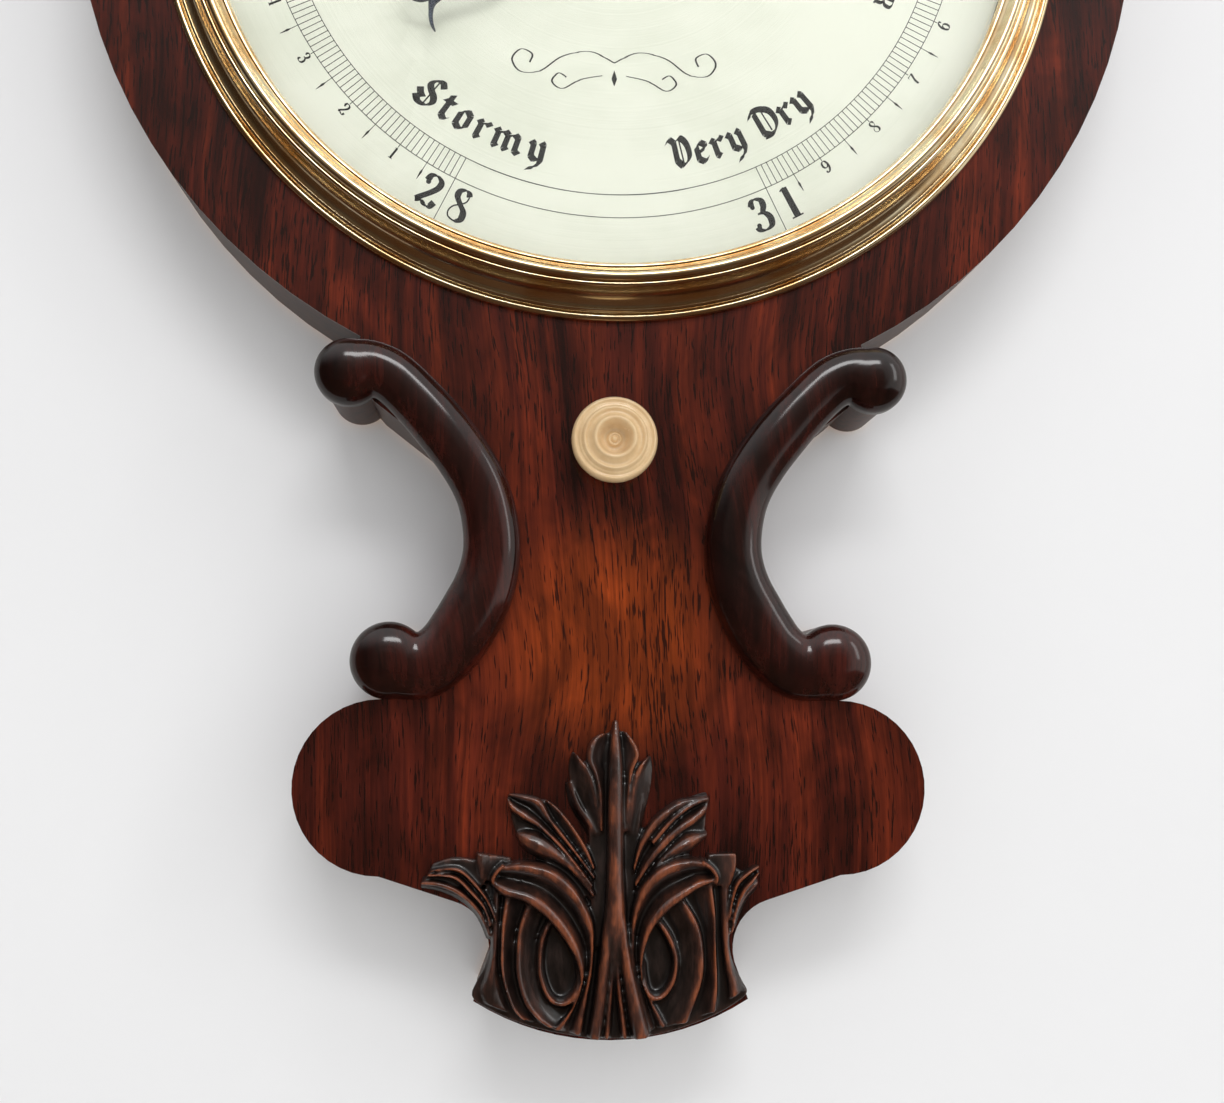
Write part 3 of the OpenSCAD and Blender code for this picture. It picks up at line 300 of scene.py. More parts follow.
class Finish:
    """A surface, made once as a material and shared by the pieces that have it."""

    title: str

    def material(self) -> bpy.types.Material:
        """Makes the material the first time and gives the same one after that."""
        found = bpy.data.materials.get(self.title)
        if found is None:
            found = bpy.data.materials.new(self.title)
            found.use_nodes = True
            self.paint(found.node_tree, found.node_tree.nodes["Principled BSDF"])
        return found

    def paint(self, tree: Tree, skin: Node) -> None:
        """Builds the nodes of the surface.

        Args:
            tree: The material's node tree.
            skin: Its Principled shader.
        """
        raise NotImplementedError


@dataclass(frozen=True)
class Rosewood(Finish):
    """Sliced rosewood under French polish.

    Its dark and red streaks sway as they rise and are broken by cloudy patches. Open pores show as
    black dashes, and the clear coat is glassy. The glow is a paler, warmer place in the wood.
    """

    title: str
    dark: str
    body: str
    bright: str
    pore: str = "#170704"
    streak_mm: float = 5.0
    pore_mm: float = 0.42
    pores: float = 0.85
    glow: str = ""
    glow_at: Place = (0.0, -194.0)
    glow_mm: Place = (36.0, 38.0)
    coat_rough: float = 0.07
    sway_mm: float = 20.0
    mottle: Place = (0.64, 1.5)

    def paint(self, tree: Tree, skin: Node) -> None:
        """Builds the nodes of the surface.

        Args:
            tree: The material's node tree.
            skin: Its Principled shader.
        """
        spot = add(tree, "TexCoord", output="Object")
        drift = add(tree, "TexNoise", {"Vector": spot, "Detail": 1.0}, size_mm=(70, 70, 90), output="Color")
        lean = add(tree, "VectorMath", {0: drift, 1: (self.sway_mm * MM, 0, 0), 2: spot},
                   operation="MULTIPLY_ADD")
        wide = self.streak_mm
        streak = add(tree, "TexNoise", {
            "Vector": lean, "Detail": 5.0, "Roughness": 0.62, "Distortion": 0.35},
            size_mm=(wide, wide, 28 * wide))
        figure = add(tree, "TexNoise", {
            "Vector": lean, "Detail": 3.0, "Roughness": 0.55, "Distortion": 0.6},
            size_mm=(38, 38, 120))
        mixed = add(tree, "Mix", {0: 0.42, 2: streak, 3: figure})
        wood = add(tree, "ValToRGB", {"Fac": mixed}, stops=(
            (0.36, self.dark), (0.49, self.body), (0.63, self.bright)))
        if self.glow:
            wood = self.warm(tree, spot, wood)
        fine = add(tree, "TexNoise", {"Vector": lean, "Detail": 3.0, "Roughness": 0.6},
                   size_mm=(0.9, 0.9, 42))
        thread = add(tree, "MapRange", {
            "Value": fine, "From Min": 0.3, "From Max": 0.7, "To Min": 0.62, "To Max": 1.3})
        cloud = add(tree, "TexNoise", {"Vector": lean, "Detail": 3.0, "Roughness": 0.6, "Distortion": 0.8},
                    size_mm=(15, 15, 30))
        patch = add(tree, "MapRange", {
            "Value": cloud, "From Min": 0.36, "From Max": 0.64,
            "To Min": self.mottle[0], "To Max": self.mottle[1]})
        value = add(tree, "Math", {0: thread, 1: patch}, operation="MULTIPLY")
        wood = add(tree, "HueSaturation", {"Value": value, "Color": wood})
        # Real pores are half this wide. They are drawn wider so that they show at the camera's distance.
        dash = add(tree, "TexNoise", {"Vector": lean, "Detail": 1.5, "Roughness": 0.5, "Distortion": 0.25},
                   size_mm=(self.pore_mm, self.pore_mm, 13 * self.pore_mm))
        crowd = add(tree, "MapRange", {
            "Value": figure, "From Min": 0.35, "From Max": 0.65, "To Min": 0.05, "To Max": -0.03})
        thick = add(tree, "Math", {0: dash, 1: crowd}, operation="ADD")
        open_pore = add(tree, "MapRange", {
            "Value": thick, "From Min": 0.585, "From Max": 0.66, "To Max": self.pores})
        wood = add(tree, "Mix", {0: open_pore, 6: wood, 7: linear(self.pore)}, data_type="RGBA")
        shine = add(tree, "MapRange", {"Value": figure, "To Min": 0.3, "To Max": 0.5})
        dent = add(tree, "Bump", {"Height": open_pore, "Strength": 0.25, "Distance": 0.06 * MM},
                   invert=True)
        set_skin(tree, skin, Base_Color=wood, Roughness=shine, Normal=dent, Specular_IOR_Level=0.06,
                 Coat_Weight=1.0, Coat_Roughness=self.coat_rough, Coat_IOR=1.5)

    def warm(self, tree: Tree, spot: Socket, wood: Socket) -> Socket:
        """Lays the glow over the wood.

        Args:
            tree: The material's node tree.
            spot: The place on the piece.
            wood: The wood's colour.

        Returns:
            The colour with its glow.
        """
        scale = per_mm(self.glow_mm[0], 1000, self.glow_mm[1])
        centre = (-self.glow_at[0] * MM * scale[0], 0, -(DIAL_Z + self.glow_at[1] * MM) * scale[2])
        ball = add(tree, "TexGradient", {
            "Vector": add(tree, "Mapping", {"Vector": spot, "Location": centre, "Scale": scale})},
            output="Fac", gradient_type="SPHERICAL")
        share = add(tree, "MapRange", {"Value": ball, "From Max": 0.75, "To Max": 0.72},
                    interpolation_type="SMOOTHSTEP")
        warmed = add(tree, "Mix", {0: 0.55, 6: wood, 7: linear(self.glow)}, data_type="RGBA")
        return add(tree, "Mix", {0: share, 6: wood, 7: warmed}, data_type="RGBA")


@dataclass(frozen=True)
class CaseTimber(Finish):
    """Dark stained and polished sides over a pine carcass, which shows bare at the back and inside.

    The two hollows are half widths, bottoms and tops, in millimetres from the dial's centre.
    """

    title: str = "stained case sides over bare pine"
    stain: str = "#2a120b"
    stain_light: str = "#4a2212"
    pine: str = "#a5794a"
    pine_late: str = "#7d5230"
    cavity: Triple = (58.5, -98.0, 69.0)
    channel: Triple = (31.0, -255.5, 616.5)

    def paint(self, tree: Tree, skin: Node) -> None:
        """Builds the nodes of the surface.

        Args:
            tree: The material's node tree.
            skin: Its Principled shader.
        """
        spot = add(tree, "TexCoord", output="Object")
        grain = add(tree, "TexNoise", {"Vector": spot, "Detail": 5.0, "Roughness": 0.6, "Distortion": 0.5},
                    size_mm=(3, 3, 90))
        stained = add(tree, "ValToRGB", {"Fac": grain}, stops=((0.35, self.stain), (0.68, self.stain_light)))
        bare = add(tree, "ValToRGB", {"Fac": grain}, stops=(
            (0.38, self.pine), (0.56, self.pine), (0.63, self.pine_late)))
        inside = self.bare_zone(tree, spot)
        colour = add(tree, "Mix", {0: inside, 6: stained, 7: bare}, data_type="RGBA")
        coat = add(tree, "MapRange", {"Value": inside, "To Min": 0.4, "To Max": 0.0})
        rough = add(tree, "MapRange", {"Value": inside, "To Min": 0.4, "To Max": 0.75})
        dent = add(tree, "Bump", {"Height": grain, "Strength": 0.15, "Distance": 0.1 * MM})
        set_skin(tree, skin, Base_Color=colour, Roughness=rough, Normal=dent, Coat_Weight=coat,
                 Coat_Roughness=0.12, Specular_IOR_Level=0.12)

    def bare_zone(self, tree: Tree, spot: Socket) -> Socket:
        """Finds where the pine is bare: on faces towards the wall and in the two hollows.

        Args:
            tree: The material's node tree.
            spot: The place on the piece.

        Returns:
            One where the wood is bare and nought where it is stained.
        """
        from_dial = add(tree, "Mapping", {
            "Vector": spot, "Location": (0, 0, -DIAL_Z / MM), "Scale": (1 / MM, 1 / MM, 1 / MM)})
        split = add(tree, "SeparateXYZ", {"Vector": from_dial}).node
        side = add(tree, "Math", {0: split.outputs["X"]}, operation="ABSOLUTE")
        normal = add(tree, "NewGeometry", output="True Normal")
        facing = add(tree, "SeparateXYZ", {"Vector": normal}, output="Y")
        inside = add(tree, "Math", {0: facing, 1: 0.6}, operation="GREATER_THAN")
        for reach, bottom, top in (self.cavity, self.channel):
            near = add(tree, "Math", {0: side, 1: reach}, operation="LESS_THAN")
            over = add(tree, "Math", {0: split.outputs["Z"], 1: bottom}, operation="GREATER_THAN")
            under = add(tree, "Math", {0: split.outputs["Z"], 1: top}, operation="LESS_THAN")
            both = add(tree, "Math", {0: near, 1: over}, operation="MULTIPLY")
            zone = add(tree, "Math", {0: both, 1: under}, operation="MULTIPLY")
            inside = add(tree, "Math", {0: inside, 1: zone}, operation="MAXIMUM")
        return inside


@dataclass(frozen=True)
class CarvedRosewood(Finish):
    """Carved rosewood: nearly black in the hollows, as dark polish with painted shade, and worn back to red on the
    ridges.
    """

    title: str = "carved rosewood, worn on its ridges"
    hollow: str = "#110a08"
    body: str = "#291a15"
    worn: str = "#45251a"
    ridge: str = "#7d4022"
    # The relief mark of worn ridges and painted shade in the hollows, as the leaf notes it.
    rubbed: str = "wear"

    def paint(self, tree: Tree, skin: Node) -> None:
        """Builds the nodes of the surface.

        Args:
            tree: The material's node tree.
            skin: Its Principled shader.
        """
        spot = add(tree, "TexCoord", output="Object")
        wear = add(tree, "Attribute", output="Fac", attribute_name=self.rubbed)
        patch = add(tree, "TexNoise", {"Vector": spot, "Detail": 4.0, "Roughness": 0.6}, size_mm=(4, 4, 9))
        broken = add(tree, "MapRange", {
            "Value": patch, "From Min": 0.35, "From Max": 0.65, "To Min": -0.2, "To Max": 0.16})
        rubbed = add(tree, "Math", {0: wear, 1: broken}, operation="ADD")
        # Low values paint the hollows near black, dark polish with painted shade; high values are the red of worn
        # ridges.
        colour = add(tree, "ValToRGB", {"Fac": rubbed}, stops=(
            (0.16, self.hollow), (0.42, self.body), (0.62, self.worn), (0.84, self.ridge)))
        grain = add(tree, "TexNoise", {"Vector": spot, "Detail": 2.0, "Roughness": 0.5},
                    size_mm=(0.5, 0.5, 7))
        value = add(tree, "MapRange", {
            "Value": grain, "From Min": 0.3, "From Max": 0.7, "To Min": 0.7, "To Max": 1.22})
        colour = add(tree, "HueSaturation", {"Value": value, "Color": colour})
        rough = add(tree, "MapRange", {
            "Value": patch, "From Min": 0.3, "From Max": 0.7, "To Min": 0.3, "To Max": 0.5})
        dent = add(tree, "Bump", {"Height": grain, "Strength": 0.3, "Distance": 0.12 * MM})
        set_skin(tree, skin, Base_Color=colour, Roughness=rough, Normal=dent, Specular_IOR_Level=0.4,
                 Coat_Weight=0.8, Coat_Roughness=0.14)


@dataclass(frozen=True)
class Brass(Finish):
    """Lacquered brass: gold reflections, faint lathe rings or file marks, and warmer, duller patches."""

    title: str
    gold: str = "#ecdcb8"
    warm: str = "#d6af78"
    rough: float = 0.13
    turned: bool = False
    ring_mm: float = 0.22

    def paint(self, tree: Tree, skin: Node) -> None:
        """Builds the nodes of the surface.

        Args:
            tree: The material's node tree.
            skin: Its Principled shader.
        """
        spot = add(tree, "TexCoord", output="Object")
        patch = add(tree, "TexNoise", {"Vector": spot, "Detail": 4.0, "Roughness": 0.6},
                    size_mm=(14, 14, 14))
        colour = add(tree, "ValToRGB", {"Fac": patch}, stops=((0.4, self.gold), (0.68, self.warm)))
        if self.turned:
            flat = add(tree, "Mapping", {"Vector": spot, "Location": (0, 0, -DIAL_Z), "Scale": (1, 0, 1)})
            reach = add(tree, "VectorMath", {0: flat}, operation="LENGTH")
            marks = add(tree, "TexNoise", {"W": reach, "Scale": 1 / (self.ring_mm * MM), "Detail": 2.0},
                        noise_dimensions="1D")
        else:
            marks = add(tree, "TexNoise", {"Vector": spot, "Detail": 2.0}, size_mm=(2.5, 0.3, 0.3))
        rough = add(tree, "MapRange", {
            "Value": patch, "From Min": 0.3, "From Max": 0.7,
            "To Min": 0.7 * self.rough, "To Max": 1.5 * self.rough})
        dent = add(tree, "Bump", {"Height": marks, "Strength": 0.06, "Distance": 0.04 * MM})
        set_skin(tree, skin, Base_Color=colour, Metallic=1.0, Roughness=rough, Normal=dent)


@dataclass(frozen=True)
class Silvering(Finish):
    """Silvered brass, grained round its centre: pale grey-green, nearly matt, with faint circular lines."""

    title: str = "silvered brass, grained in circles"
    pale: str = "#e7e8dd"
    shade: str = "#dbddd0"
    # Real graining is finer than a pixel here, so its rings are drawn four times as wide.
    ring_mm: float = 0.5

    def paint(self, tree: Tree, skin: Node) -> None:
        """Builds the nodes of the surface.

        Args:
            tree: The material's node tree.
            skin: Its Principled shader.
        """
        spot = add(tree, "TexCoord", output="Object")
        flat = add(tree, "Mapping", {"Vector": spot, "Location": (0, 0, -DIAL_Z), "Scale": (1, 0, 1)})
        reach = add(tree, "VectorMath", {0: flat}, operation="LENGTH")
        rings = add(tree, "TexNoise", {
            "W": reach, "Scale": 1 / (self.ring_mm * MM), "Detail": 4.0, "Roughness": 0.7},
            noise_dimensions="1D")
        cloud = add(tree, "TexNoise", {"Vector": spot, "Detail": 4.0, "Roughness": 0.6},
                    size_mm=(45, 45, 30))
        both = add(tree, "Mix", {0: 0.3, 2: cloud, 3: rings})
        colour = add(tree, "ValToRGB", {"Fac": both}, stops=((0.38, self.shade), (0.56, self.pale)))
        rough = add(tree, "MapRange", {
            "Value": rings, "From Min": 0.3, "From Max": 0.7, "To Min": 0.36, "To Max": 0.5})
        dent = add(tree, "Bump", {"Height": rings, "Strength": 0.12, "Distance": 0.03 * MM})
        set_skin(tree, skin, Base_Color=colour, Roughness=rough, Normal=dent, Specular_IOR_Level=0.03)


@dataclass(frozen=True)
class ClearGlass(Finish):
    """Clear old glass, faintly green and rippled, that lets the lamps' light straight through."""

    title: str = "clear blown glass"
    tint: str = "#fdfefc"
    ripple_mm: float = 30.0

    def paint(self, tree: Tree, skin: Node) -> None:
        """Builds the nodes of the surface.

        Args:
            tree: The material's node tree.
            skin: Its Principled shader.
        """
        spot = add(tree, "TexCoord", output="Object")
        size = self.ripple_mm
        ripple = add(tree, "TexNoise", {"Vector": spot, "Detail": 1.0}, size_mm=(size, size, size))
        dent = add(tree, "Bump", {"Height": ripple, "Strength": 0.05, "Distance": 0.3 * MM})
        set_skin(tree, skin, Base_Color=linear(self.tint), Roughness=0.0, IOR=1.5, Transmission_Weight=1.0,
                 Normal=dent)
        lamp_ray = add(tree, "LightPath", output="Is Shadow Ray")
        clear = add(tree, "BsdfTransparent", {"Color": linear(self.tint)})
        show(tree, add(tree, "MixShader", {0: lamp_ray, 1: skin.outputs[0], 2: clear}))


@dataclass(frozen=True)
class Plain(Finish):
    """A material with one grain and two colours, such as bone, cork, pine, steel, mercury, silk or wax."""

    title: str
    light: str
    deep: str
    grain_mm: Triple = (2.0, 2.0, 2.0)
    rough: Place = (0.3, 0.45)
    metal: float = 0.0
    dent_mm: float = 0.02
    coat: float = 0.0
    soft: float = 0.0
    soak_mm: Triple = (2.0, 1.2, 0.6)
    gloss: float = 0.5

    def paint(self, tree: Tree, skin: Node) -> None:
        """Builds the nodes of the surface.

        Args:
            tree: The material's node tree.
            skin: Its Principled shader.
        """
        spot = add(tree, "TexCoord", output="Object")
        grain = add(tree, "TexNoise", {"Vector": spot, "Detail": 4.0, "Roughness": 0.6, "Distortion": 0.3},
                    size_mm=self.grain_mm)
        colour = add(tree, "ValToRGB", {"Fac": grain}, stops=((0.36, self.deep), (0.62, self.light)))
        rough = add(tree, "MapRange", {
            "Value": grain, "From Min": 0.3, "From Max": 0.7,
            "To Min": self.rough[0], "To Max": self.rough[1]})
        dent = add(tree, "Bump", {"Height": grain, "Strength": 0.3, "Distance": self.dent_mm * MM})
        set_skin(tree, skin, Base_Color=colour, Roughness=rough, Normal=dent, Metallic=self.metal,
                 Coat_Weight=self.coat, Coat_Roughness=0.12, Specular_IOR_Level=self.gloss,
                 Subsurface_Weight=self.soft, Subsurface_Radius=[s * MM for s in self.soak_mm],
                 Subsurface_Scale=1.0)


# The veneer is paler and warmer in the middle, between the lower scrolls.
VENEER = Rosewood("French-polished rosewood veneer", dark="#1d0705", body="#3d1108", bright="#60200c",
                  glow="#ac460c")
# Planed and polished along the grain: finer streaks and a little paler than the veneer.
FRAME_WOOD = Rosewood("polished rosewood of the thermometer frame", dark="#240a06", body="#42150a",
                      bright="#5a210e", streak_mm=3.5)
# Shaped across the grain and polished hard, so the streaks are faint and the coat is deep and wet.
MOULDING = Rosewood("shaped and polished rosewood", dark="#120504", body="#1e0906", bright="#340f09",
                    streak_mm=4.0, pores=0.35, coat_rough=0.13)
# Stained nearly black outside; pale and dull where it was never meant to be seen.
CASE = CaseTimber()
# Near black in the cuts, as dark polish with painted shade, and red where hands have worn it.
CARVING = CarvedRosewood()
# Buffed bright by years of handling: it mirrors the room in bands.
BEZEL_BRASS = Brass("turned and lacquered brass", turned=True, rough=0.17)
# Filed and left alone, so it is browner and duller.
FITTING_BRASS = Brass("filed and lacquered brass", gold="#cfae6c", warm="#a5803f", rough=0.24)
# Nearly white, with no bright reflection.
SILVER = Silvering()
# Seen only by its reflections and a faint ripple.
GLASS = ClearGlass()
# Heated to blue and burnished: almost black with a cold sheen.
BLUED = Plain("heat-blued steel", "#333a48", "#1b1f2a", (6, 6, 6), (0.18, 0.3), metal=1.0, dent_mm=0.004)
# Turned bright: grey, with fine marks round it.
STEEL = Plain("turned steel", "#a3a6a8", "#83878b", (0.4, 2, 0.4), (0.22, 0.36), metal=1.0, dent_mm=0.006)
# A liquid mirror.
QUICKSILVER = Plain("mercury", "#d5d8dc", "#c3c7cc", (8, 8, 8), (0.03, 0.06), metal=1.0, dent_mm=0.0)
# Turned ox bone: warm cream with a soft grain along its axis, light soaking a little way in.
BONE = Plain("turned and polished bone", "#e0c296", "#d8b78a", (4, 14, 4), (0.2, 0.28), coat=0.5,
             dent_mm=0.0, soft=0.03)
# Pale, with long upright lines and little shine.
PINE = Plain("planed and waxed pine", "#b98d5a", "#8c6238", (4, 4, 110), (0.5, 0.7), dent_mm=0.05)
# Speckled brown and dry.
CORK = Plain("cut cork", "#b98a57", "#6f4b2a", (0.9, 0.9, 0.9), (0.75, 0.95), dent_mm=0.15)
# Pale and fibrous, without gloss.
SILK = Plain("twisted silk", "#e3d9b8", "#b9ab83", (0.5, 0.5, 0.5), (0.55, 0.75), dent_mm=0.02)
# Black wax rubbed into the engraved lines, a little grey where it has worn.
WAX = Plain("engraver's black wax", "#171614", "#0c0b0a", (1.5, 1.5, 1.5), (0.45, 0.65), dent_mm=0.005,
            gloss=0.08)


def smooth_line(points: Sequence[Sequence[float]], steps: int) -> list[tuple[float, ...]]:
    """Draws a smooth line through some places.

    Args:
        points: The places, each with any number of measures.
        steps: How many short steps each gap is cut into.

    Returns:
        The places on the line, ends included.
    """
    line: list[tuple[float, ...]] = []
    last = len(points) - 1
    for i in range(last):
        p0, p1, p2, p3 = (points[min(max(k, 0), last)] for k in (i - 1, i, i + 1, i + 2))
        for step in range(steps):
            t = step / steps
            line.append(tuple(
                0.5 * (2 * b + (c - a) * t + (2 * a - 5 * b + 4 * c - d) * t * t
                       + (3 * b - a - 3 * c + d) * t ** 3)
                for a, b, c, d in zip(p0, p1, p2, p3)))
    line.append(tuple(points[last]))
    return line


def add_loop(bm: Solid, points: Iterable[Sequence[float]]) -> list[bmesh.types.BMEdge]:
    """Adds a closed ring of edges.

    Args:
        bm: The mesh that it joins.
        points: The ring's places, in order.

    Returns:
        The new edges.
    """
    verts = [bm.verts.new(p) for p in points]
    return [bm.edges.new((verts[i - 1], verts[i])) for i in range(len(verts))]


def loft(bm: Solid, rings: Iterable[Iterable[Sequence[float]]], closed: bool = False) -> None:
    """Skins a row of rings that have the same number of places, and closes its two ends.

    Args:
        bm: The mesh that it joins.
        rings: The rings, in order.
        closed: True where the last ring meets the first one.
    """
    loops = [add_loop(bm, ring) for ring in rings]
    pairs = list(zip(loops, loops[1:])) + ([(loops[-1], loops[0])] if closed else [])
    for one, two in pairs:
        bmesh.ops.bridge_loops(bm, edges=one + two)
    if not closed:
        for end in (loops[0], loops[-1]):
            bmesh.ops.edgeloop_fill(bm, edges=end)


def face_out(bm: Solid) -> None:
    """Turns every face outwards."""
    bmesh.ops.recalc_face_normals(bm, faces=bm.faces)


def tidy(bm: Solid, gap: float = 0.001) -> None:
    """Merges doubled corners and turns every face outwards."""
    bmesh.ops.remove_doubles(bm, verts=bm.verts, dist=gap)
    face_out(bm)


def lathe(bm: Solid, section: Sequence[Place], centre: Place = (0.0, 0.0), steps: int = 128,
          ring: bool = False) -> None:
    """Turns a section about an axis that stands out from the wall.

    Args:
        bm: The mesh that it joins.
        section: Radius and height of each corner.
        centre: Where the axis stands on the bench.
        steps: Sides of the round.
        ring: True where the section closes on itself.
    """
    verts = [bm.verts.new((centre[0] + r, centre[1], h)) for r, h in section]
    edges = [bm.edges.new(pair) for pair in zip(verts, verts[1:])]
    if ring:
        edges.append(bm.edges.new((verts[-1], verts[0])))
    bmesh.ops.spin(bm, geom=verts + edges, cent=(*centre, 0), axis=(0, 0, 1), angle=math.tau, steps=steps,
                   use_merge=True)
    tidy(bm)


def headings(places: Sequence[Vector], closed: bool) -> list[Vector]:
    """Gives the way that a path runs at each of its places.

    Args:
        places: The places, in order.
        closed: True where the path comes back to its start.

    Returns:
        A direction for each place.
    """
    count = len(places)
    ways = []
    for i, place in enumerate(places):
        ahead = places[(i + 1) % count] if closed or i + 1 < count else place
        behind = places[i - 1] if closed or i else place
        ways.append((ahead - behind).normalized())
    return ways


def tube(bm: Solid, path: Sequence[Sequence[float]], sides: int = 24, closed: bool = False) -> None:
    """Sweeps a round section along a path.

    Args:
        bm: The mesh that it joins.
        path: Places with the radius there as a fourth measure.
        sides: Sides of the round.
        closed: True where the path comes back to its start.
    """
    places = [Vector(p[:3]) for p in path]
    up = Vector((0, 0, 1))
    rings = []
    for place, along, row in zip(places, headings(places, closed), path):
        if abs(along.dot(up)) > 0.98:
            up = Vector((0, 1, 0)) if abs(along.y) < 0.9 else Vector((1, 0, 0))
        across = along.cross(up).normalized()
        up = across.cross(along).normalized()
        turns = (math.tau * k / sides for k in range(sides))
        rings.append([place + row[3] * (math.cos(t) * across + math.sin(t) * up) for t in turns])
    loft(bm, rings, closed)


def into_scene(name: str, bm: Solid) -> Piece:
    """Makes an object of a mesh and puts it in the scene.

    Args:
        name: The object's name.
        bm: Its mesh. It is freed.

    Returns:
        The new object.
    """
    mesh = bpy.data.meshes.new(name)
    bm.to_mesh(mesh)
    bm.free()
    piece = bpy.data.objects.new(name, mesh)
    bpy.context.scene.collection.objects.link(piece)
    return piece


def fuse(bm: Solid, grain: float, passes: int) -> Solid:
    """Grows overlapping solids into one skin, as if they were carved from one piece.

    Args:
        bm: The solids. It is freed.
        grain: Size of the skin's small faces.
        passes: How many times the skin is eased.

    Returns:
        The one skin.
    """
    block = into_scene("blank", bm)
    mesh = block.data
    remesh = block.modifiers.new("skin", "REMESH")
    remesh.mode = "VOXEL"
    remesh.voxel_size = grain
    skin = bpy.data.meshes.new_from_object(block.evaluated_get(bpy.context.evaluated_depsgraph_get()))
    bpy.data.objects.remove(block)
    bpy.data.meshes.remove(mesh)
    one = bmesh.new()
    one.from_mesh(skin)
    bpy.data.meshes.remove(skin)
    for _ in range(passes):
        bmesh.ops.smooth_vert(one, verts=one.verts, factor=0.5, use_axis_x=True, use_axis_y=True,
                              use_axis_z=True)
    return one


def cut_below(bm: Solid, height: float) -> None:
    """Cuts a solid flat at a height and drops what is below."""
    bmesh.ops.bisect_plane(bm, geom=bm.verts[:] + bm.edges[:] + bm.faces[:], dist=0.0001,
                           plane_co=(0, 0, height), plane_no=(0, 0, 1), clear_inner=True)


def close_holes(bm: Solid) -> None:
    """Fills every open rim."""
    bmesh.ops.holes_fill(bm, edges=[e for e in bm.edges if e.is_boundary], sides=0)


def stand_up(name: str, bm: Solid, finish: Finish, crease: float) -> Piece:
    """Stands a mesh up from the bench to the wall as a finished object.

    Args:
        name: The piece's name.
        bm: Its mesh on the bench. It is freed.
        finish: Its surface.
        crease: Sharpest angle, in degrees, that is shaded smooth.

    Returns:
        The new object.
    """
    bmesh.ops.transform(bm, matrix=BENCH, verts=bm.verts)
    piece = into_scene(name, bm)
    piece.data.shade_smooth()
    piece.data.set_sharp_from_angle(angle=math.radians(crease))
    piece.data.materials.append(finish.material())
    return piece


def make_piece(name: str, bm: Solid, finish: Finish, body: str = "case", slot: str = "",
               instead_of: Sequence[str] = (), crease: float = 40.0) -> None:
    """Turns a mesh on the bench into a finished piece on its body.

    Args:
        name: The piece's name.
        bm: Its mesh. It is freed.
        finish: Its surface.
        body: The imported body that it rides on.
        slot: The record's material slot, where one fits.
        instead_of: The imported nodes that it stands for.
        crease: Sharpest angle, in degrees, that is shaded smooth.
    """
    piece = stand_up(name, bm, finish, crease)
    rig.ride(piece, body)
    if instead_of:
        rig.replaces(piece, *instead_of)
    if slot:
        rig.slot(piece, slot)
    LOG.info("%s: %d faces on %s", name, len(piece.data.polygons), body)


def stretch_piece(name: str, bm: Solid, finish: Finish, body: str, slot: str, node: str,
                  reach: tuple[Vector, Vector]) -> None:
    """Makes a piece that is fast to the case at one end and follows a moving body at the other.

    Args:
        name: The piece's name.
        bm: Its mesh on the bench. It is freed.
        finish: Its surface.
        body: The moving body.
        slot: The record's material slot.
        node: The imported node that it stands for.
        reach: Where it leaves the case and where it meets the body.
    """
    piece = stand_up(name, bm, finish, crease=50.0)
    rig.blend(piece, "case", body, *reach)
    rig.replaces(piece, node)
    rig.slot(piece, slot)
    LOG.info("%s: %d faces between case and %s", name, len(piece.data.polygons), body)


